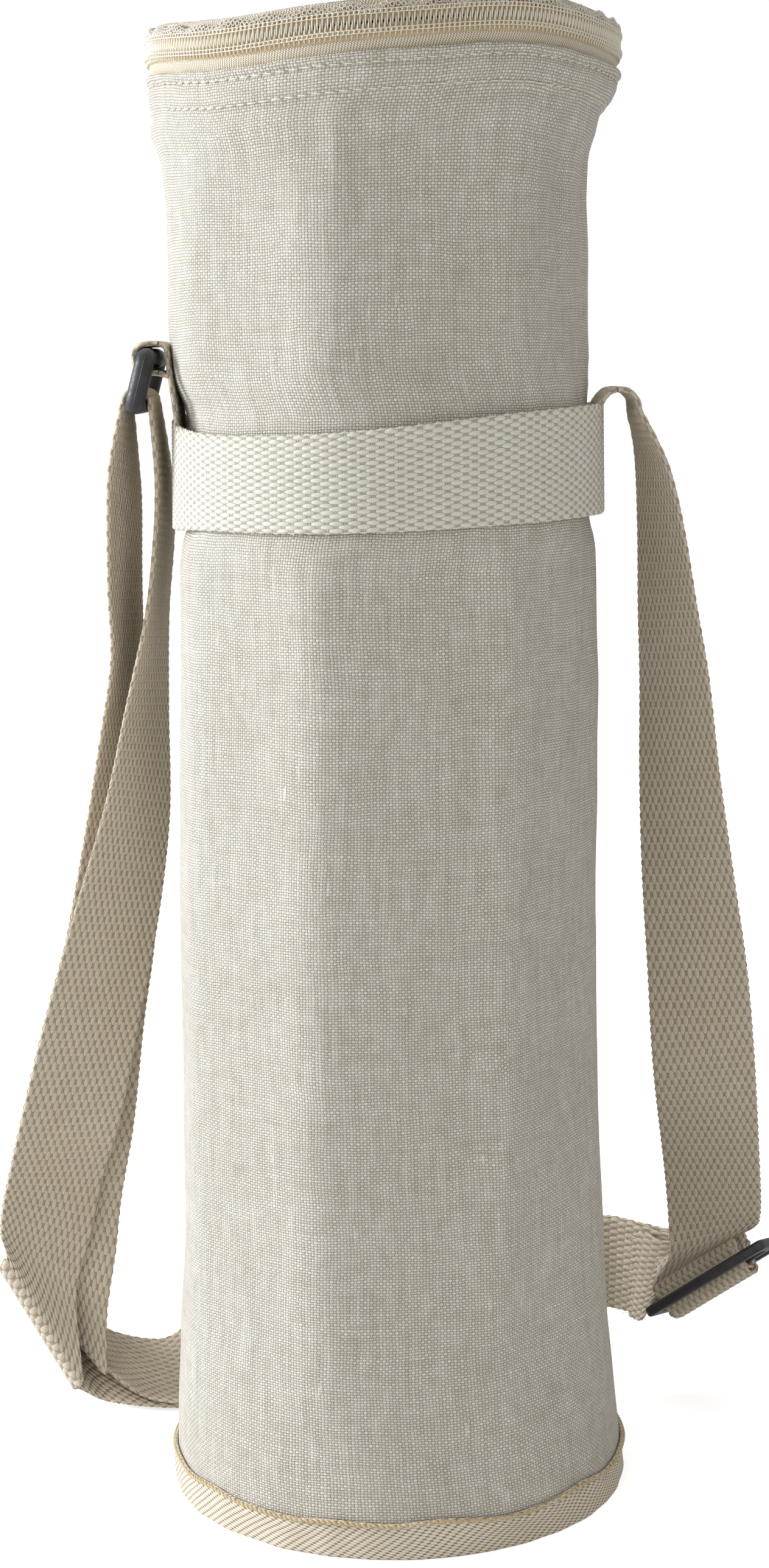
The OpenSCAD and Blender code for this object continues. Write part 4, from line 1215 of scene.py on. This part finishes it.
patchWings("hingeWingsLower", patch["low"], patch["lowTop"], "bag", "hinge_patch_lower")
patchWings("hingeWingsUpper", patch["highLow"], patch["top"], "lid", "hinge_patch_upper")
hingeStrip = bmesh.new()
patchStrip(hingeStrip, patch["low"], patch["top"], 90 - patch["middle"], 90 + patch["middle"])
hingeCloth = finishPiece("hingeCloth", hingeStrip, canvasCloth, None, sharp=50)
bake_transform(hingeCloth)


# lid

lid = {"edge": 52.19, "canvas": 51.0, "low": 338.4, "thick": 0.9, "crown": 0.45, "droop": 0.75,
       "rollHeight": 336.7, "rollPitch": 1.2, "waves": 36, "waveHigh": 0.45}


def lidCrown(share, turn):
    # a soft crown that droops at the edge
    soft = 0.25 * ripple(share * 2, sin(radians(turn)) * share * 2, 4)
    raised = lid["crown"] * (1 - share * share) + soft if share < 0.93 else 0
    return raised - lid["droop"] * fade(share, 0.82, 0.97)


roundedDisc("lidCanvas", lid["canvas"], lid["low"], lid["low"] + lid["thick"], 0.3, canvasCloth, "lid",
            "lid_canvas", crown=lidCrown, rings=24, steps=120)
boxDisc("lidFoam", "lid_foam", paddingFoam, "lid")
boxDisc("lidLining", "lid_lining", liningFoil, "lid")


def loopTemplate(size, thick):
    # a small ring of thread, flat against the edge that it goes over
    bm = bmesh.new()
    quarter = Matrix.Rotation(pi / 2, 3, "X")
    bmesh.ops.create_circle(bm, segments=5, radius=thick)
    bmesh.ops.rotate(bm, verts=bm.verts, cent=(0, 0, 0), matrix=quarter)
    bmesh.ops.translate(bm, verts=bm.verts, vec=(size, 0, 0))
    bmesh.ops.spin(bm, geom=bm.verts[:] + bm.edges[:], cent=(0, 0, 0), axis=(0, 0, 1), dvec=(0, 0, 0),
                   angle=fullTurn, steps=12, use_merge=True, use_duplicate=False)
    bmesh.ops.remove_doubles(bm, verts=bm.verts, dist=1e-4)
    bmesh.ops.rotate(bm, verts=bm.verts, cent=(0, 0, 0), matrix=quarter)
    bmesh.ops.scale(bm, verts=bm.verts, vec=(mm, mm, mm))
    bmesh.ops.recalc_face_normals(bm, faces=bm.faces)
    return asMesh(bm, "loop")


def lidEdgePieces():
    # a rolled core that waves up and down, with rows of thread loops over it
    core = beadTemplate(2.0, 1.6, 1.2)
    loop = loopTemplate(0.46, 0.16)
    rolled, loops = bmesh.new(), bmesh.new()
    count = round(fullTurn * lid["edge"] / lid["rollPitch"])
    for i in range(count):
        turn = 360 * i / count
        wave = lid["waveHigh"] * sin(radians(turn) * lid["waves"]) + 0.5 * ringRipple(turn, 6, 7)
        height = lid["rollHeight"] + wave
        swing = 0.12 * ripple(i * 0.8, 2, 3)
        addCopy(rolled, core, ringMatrix(turn, lid["edge"] - 0.1, height, roll=6))
        for lift, out, shift, tip in ((0.3, 0.6, 0.0, 16), (-0.35, 0.8, 0.5, 0)):
            place = ringMatrix(turn + shift * 360 / count, lid["edge"] + out + swing, height + lift, 20, tip)
            addCopy(loops, loop, place)
        addCopy(loops, loop, ringMatrix(turn + 180 / count, lid["edge"] - 0.1, height + 0.5, tip=75))
    finishPiece("lidEdge", rolled, goldenCord, "lid", ["lid_edge"])
    finishPiece("lidEdgeLoops", loops, looseThread, "lid")


lidEdgePieces()
print("lid made")


# slider and pull

slider = {"turn": 125.0, "outer": 53.49, "inner": 50.19, "plate": 0.9, "length": 9.0, "low": 329.8,
          "top": 337.4, "lip": 0.7, "bailGap": 2.0, "bailSpan": 4.4, "bailBar": 0.9, "bailWide": 2.4}
pull = {"reach": 19.0, "wide": 5.2, "thick": 1.0, "tip": 1.6, "pin": 55.39, "eye": 4.6}


def block(bm, low, high, edge):
    # a box with rounded edges, in the slider's own frame: x along, y outwards, z up, in mm
    made = bmesh.ops.create_cube(bm, size=1)["verts"]
    centre = [(a + b) / 2 for a, b in zip(low, high)]
    bmesh.ops.scale(bm, verts=made, vec=[b - a for a, b in zip(low, high)])
    bmesh.ops.translate(bm, verts=made, vec=centre)
    edges = list({e for v in made for e in v.link_edges})
    bmesh.ops.bevel(bm, geom=edges, offset=edge, segments=3, profile=0.5, affect="EDGES", material=-1)


def toSlider(bm):
    bm.transform(Matrix.Scale(mm, 4))
    bm.transform(ringMatrix(slider["turn"], 0, 0))


def zipSliderPiece():
    # an outer and an inner plate, a lip below, a bridge between the coils and a bail for the pull
    bm = bmesh.new()
    half, outer, low, top = slider["length"] / 2, slider["outer"], slider["low"], slider["top"]
    sag = outer * (1 - cos(half / outer))
    plateOut, bailOut = outer + slider["plate"], outer + slider["plate"] + slider["bailGap"]
    lowLip = low - slider["lip"]
    block(bm, (-half, outer - sag + 0.25, lowLip), (half, plateOut, top), 0.35)
    block(bm, (-half, slider["inner"] - slider["plate"] - sag, low), (half, slider["inner"] - sag, top), 0.25)
    block(bm, (-half, outer - 1.7, lowLip), (half, plateOut - 0.2, low), 0.25)
    block(bm, (half - 2.2, slider["inner"] - 0.1, zipper["middle"] - 0.25),
          (half, outer + 0.1, zipper["middle"] + 0.25), 0.12)
    near, far = slider["bailSpan"] / 2, slider["bailSpan"] / 2 + slider["bailBar"]
    bailLow, bailTop = (zipper["middle"] + side * slider["bailWide"] / 2 for side in (-1, 1))
    for left, right in ((-far, -near), (near, far)):
        block(bm, (left, plateOut - 0.2, bailLow), (right, bailOut + slider["bailBar"], bailTop), 0.25)
    block(bm, (-far, bailOut, bailLow), (far, bailOut + slider["bailBar"], bailTop), 0.35)
    toSlider(bm)
    finishPiece("zipSlider", bm, nickelPlate, "slider", ["zip_slider"], sharp=40)


def zipPullPiece():
    # a flat tongue with a round tip and an eye for the bail
    bm = bmesh.new()
    wide, tip, reach, eye = pull["wide"] / 2, pull["tip"], pull["reach"], pull["eye"]
    outline = [(-0.5, -wide + 0.5), (0.0, -wide), *arc(reach - tip, 0, tip, tip, range(-90, 91, 20)),
               (0.0, wide), (-0.5, wide - 0.5)]
    hole = [(0.5, -1.5), (eye - 0.8, -1.5), (eye, -0.7), (eye, 0.7), (eye - 0.8, 1.5), (0.5, 1.5)]
    edges = []
    for places in (outline, hole):
        edges += joinedVerts(bm, [(x, 0, z) for x, z in places])[1]
    slab(bm, edges, (0, -1, 0), pull["thick"], 0.2, 2)
    bmesh.ops.translate(bm, verts=bm.verts, vec=(0, pull["pin"], zipper["middle"]))
    toSlider(bm)
    bmesh.ops.recalc_face_normals(bm, faces=bm.faces)
    finishPiece("zipPull", bm, nickelPlate, "pull", ["zip_pull"], sharp=40)


zipSliderPiece()
zipPullPiece()
print("slider made")


# loose threads

def strapEndFray():
    # threads that curl out of the strap's cut end, in mm from the middle of its width
    whole = bmesh.new()
    count, pitch, leftmost, radius = 11, 2.1, -11, 0.08 * mm
    tail, width = strapRoute[-1]
    for k in range(count):
        start = tail + width * (k * pitch + leftmost)
        aim = Vector((-0.7, 0.1 + 0.06 * k, -0.3 + 0.1 * (k % 3))).normalized()
        length = 2.2 + 1.3 * ((k * 5) % 3)
        points = []
        for share in evenly(0, 1, 8):
            curl = Vector([ripple(k, share * 2, seed) for seed in (1, 5, 9)])
            points.append((start + aim * length * share + curl * length * 0.5 * share) * mm)
        whole.from_mesh(tubeMesh("thread", points, radius, 1))
    finishPiece("strapEndFray", whole, looseThread, "strap")


strapEndFray()
print("threads made")


# camera, light and floor; the view's lengths are in mm and its turns in degrees

# the photo is 2576 pixels high, and its focal length is 4400 of them
view = {"back": 618.8, "high": 263.1, "aside": -1.65, "down": 8.8, "roll": -0.68, "sensor": 36,
        "focal": 4400, "rows": 2576}
camera = bpy.data.objects.new("camera", bpy.data.cameras.new("camera"))
camera.data.sensor_fit = "VERTICAL"
camera.data.sensor_height = view["sensor"]
camera.data.lens = view["focal"] / view["rows"] * view["sensor"]
camera.data.clip_start = 0.01
turned = Matrix.Rotation(radians(90 - view["down"]), 4, "X") @ Matrix.Rotation(radians(view["roll"]), 4, "Z")
camera.matrix_world = Matrix.Translation(Vector((view["aside"], -view["back"], view["high"])) * mm) @ turned
bpy.context.scene.collection.objects.link(camera)
bpy.context.scene.camera = camera


def areaLight(name, place, aim, size, power, color=(1, 1, 1)):
    lamp = bpy.data.lights.new(name, "AREA")
    lamp.shape = "RECTANGLE"
    lamp.size, lamp.size_y = size
    lamp.energy = power
    lamp.color = color
    holder = bpy.data.objects.new(name, lamp)
    holder.location = place
    holder.rotation_euler = (Vector(aim) - Vector(place)).to_track_quat("-Z", "Y").to_euler()
    bpy.context.scene.collection.objects.link(holder)


# places, aims and sizes in m, power in W
areaLight("keyLight", (-1.5, 0.02, 0.62), (0, 0, 0.2), (0.5, 0.7), 29.5, (0.965, 0.985, 1.04))
areaLight("fillLight", (-0.6, -1.6, 0.9), (0, 0, 0.16), (1.4, 1.2), 7.5, (1.0, 0.99, 0.95))
areaLight("sideLight", (1.6, -0.7, 0.55), (0, 0, 0.16), (1.0, 1.0), 2.5, (1.0, 0.93, 0.8))
areaLight("topLight", (0.0, 0.4, 1.4), (0, 0, 0.2), (1.2, 0.8), 4)


def whiteWorld():
    # white to the camera, and dimmer as a light
    world = bpy.data.worlds.new("studio")
    world.use_nodes = True
    ground = world.node_tree.nodes["Background"].inputs
    rays = world.node_tree.nodes.new("ShaderNodeLightPath").outputs
    seen = calc("MAXIMUM", rays["Is Camera Ray"], rays["Is Transmission Ray"])
    seen = calc("MAXIMUM", seen, times(rays["Is Glossy Ray"], 0.5))
    feed(ground["Color"], (1, 1, 1))
    feed(ground["Strength"], spread(seen, 0, 1, 0.37, 1.0))
    bpy.context.scene.world = world


def floorMaterial():
    # glows to the camera, more so far away, and still takes shadows
    material, place = newMaterial("paleFloor")
    rays = material.node_tree.nodes.new("ShaderNodeLightPath").outputs
    away = addNode("ShaderNodeVectorMath", {0: place}, operation="LENGTH").outputs["Value"]
    glow = times(rays["Is Camera Ray"], spread(away, 0.15, 0.7, 0.62, 1.05))
    return dressed(material, {"Base Color": (0.92, 0.92, 0.92), "Roughness": 0.9, "Emission Color": (1, 1, 1),
                              "Emission Strength": glow})


whiteWorld()
floorCircle = bmesh.new()
bmesh.ops.create_circle(floorCircle, cap_ends=True, segments=96, radius=4)
floorSheet = asMesh(floorCircle, "floor")
floorSheet.materials.append(floorMaterial())
floorPiece = bpy.data.objects.new("floor", floorSheet)
bpy.context.scene.collection.objects.link(floorPiece)

scene = bpy.context.scene
scene.view_settings.view_transform = "Standard"
print("scene ready")
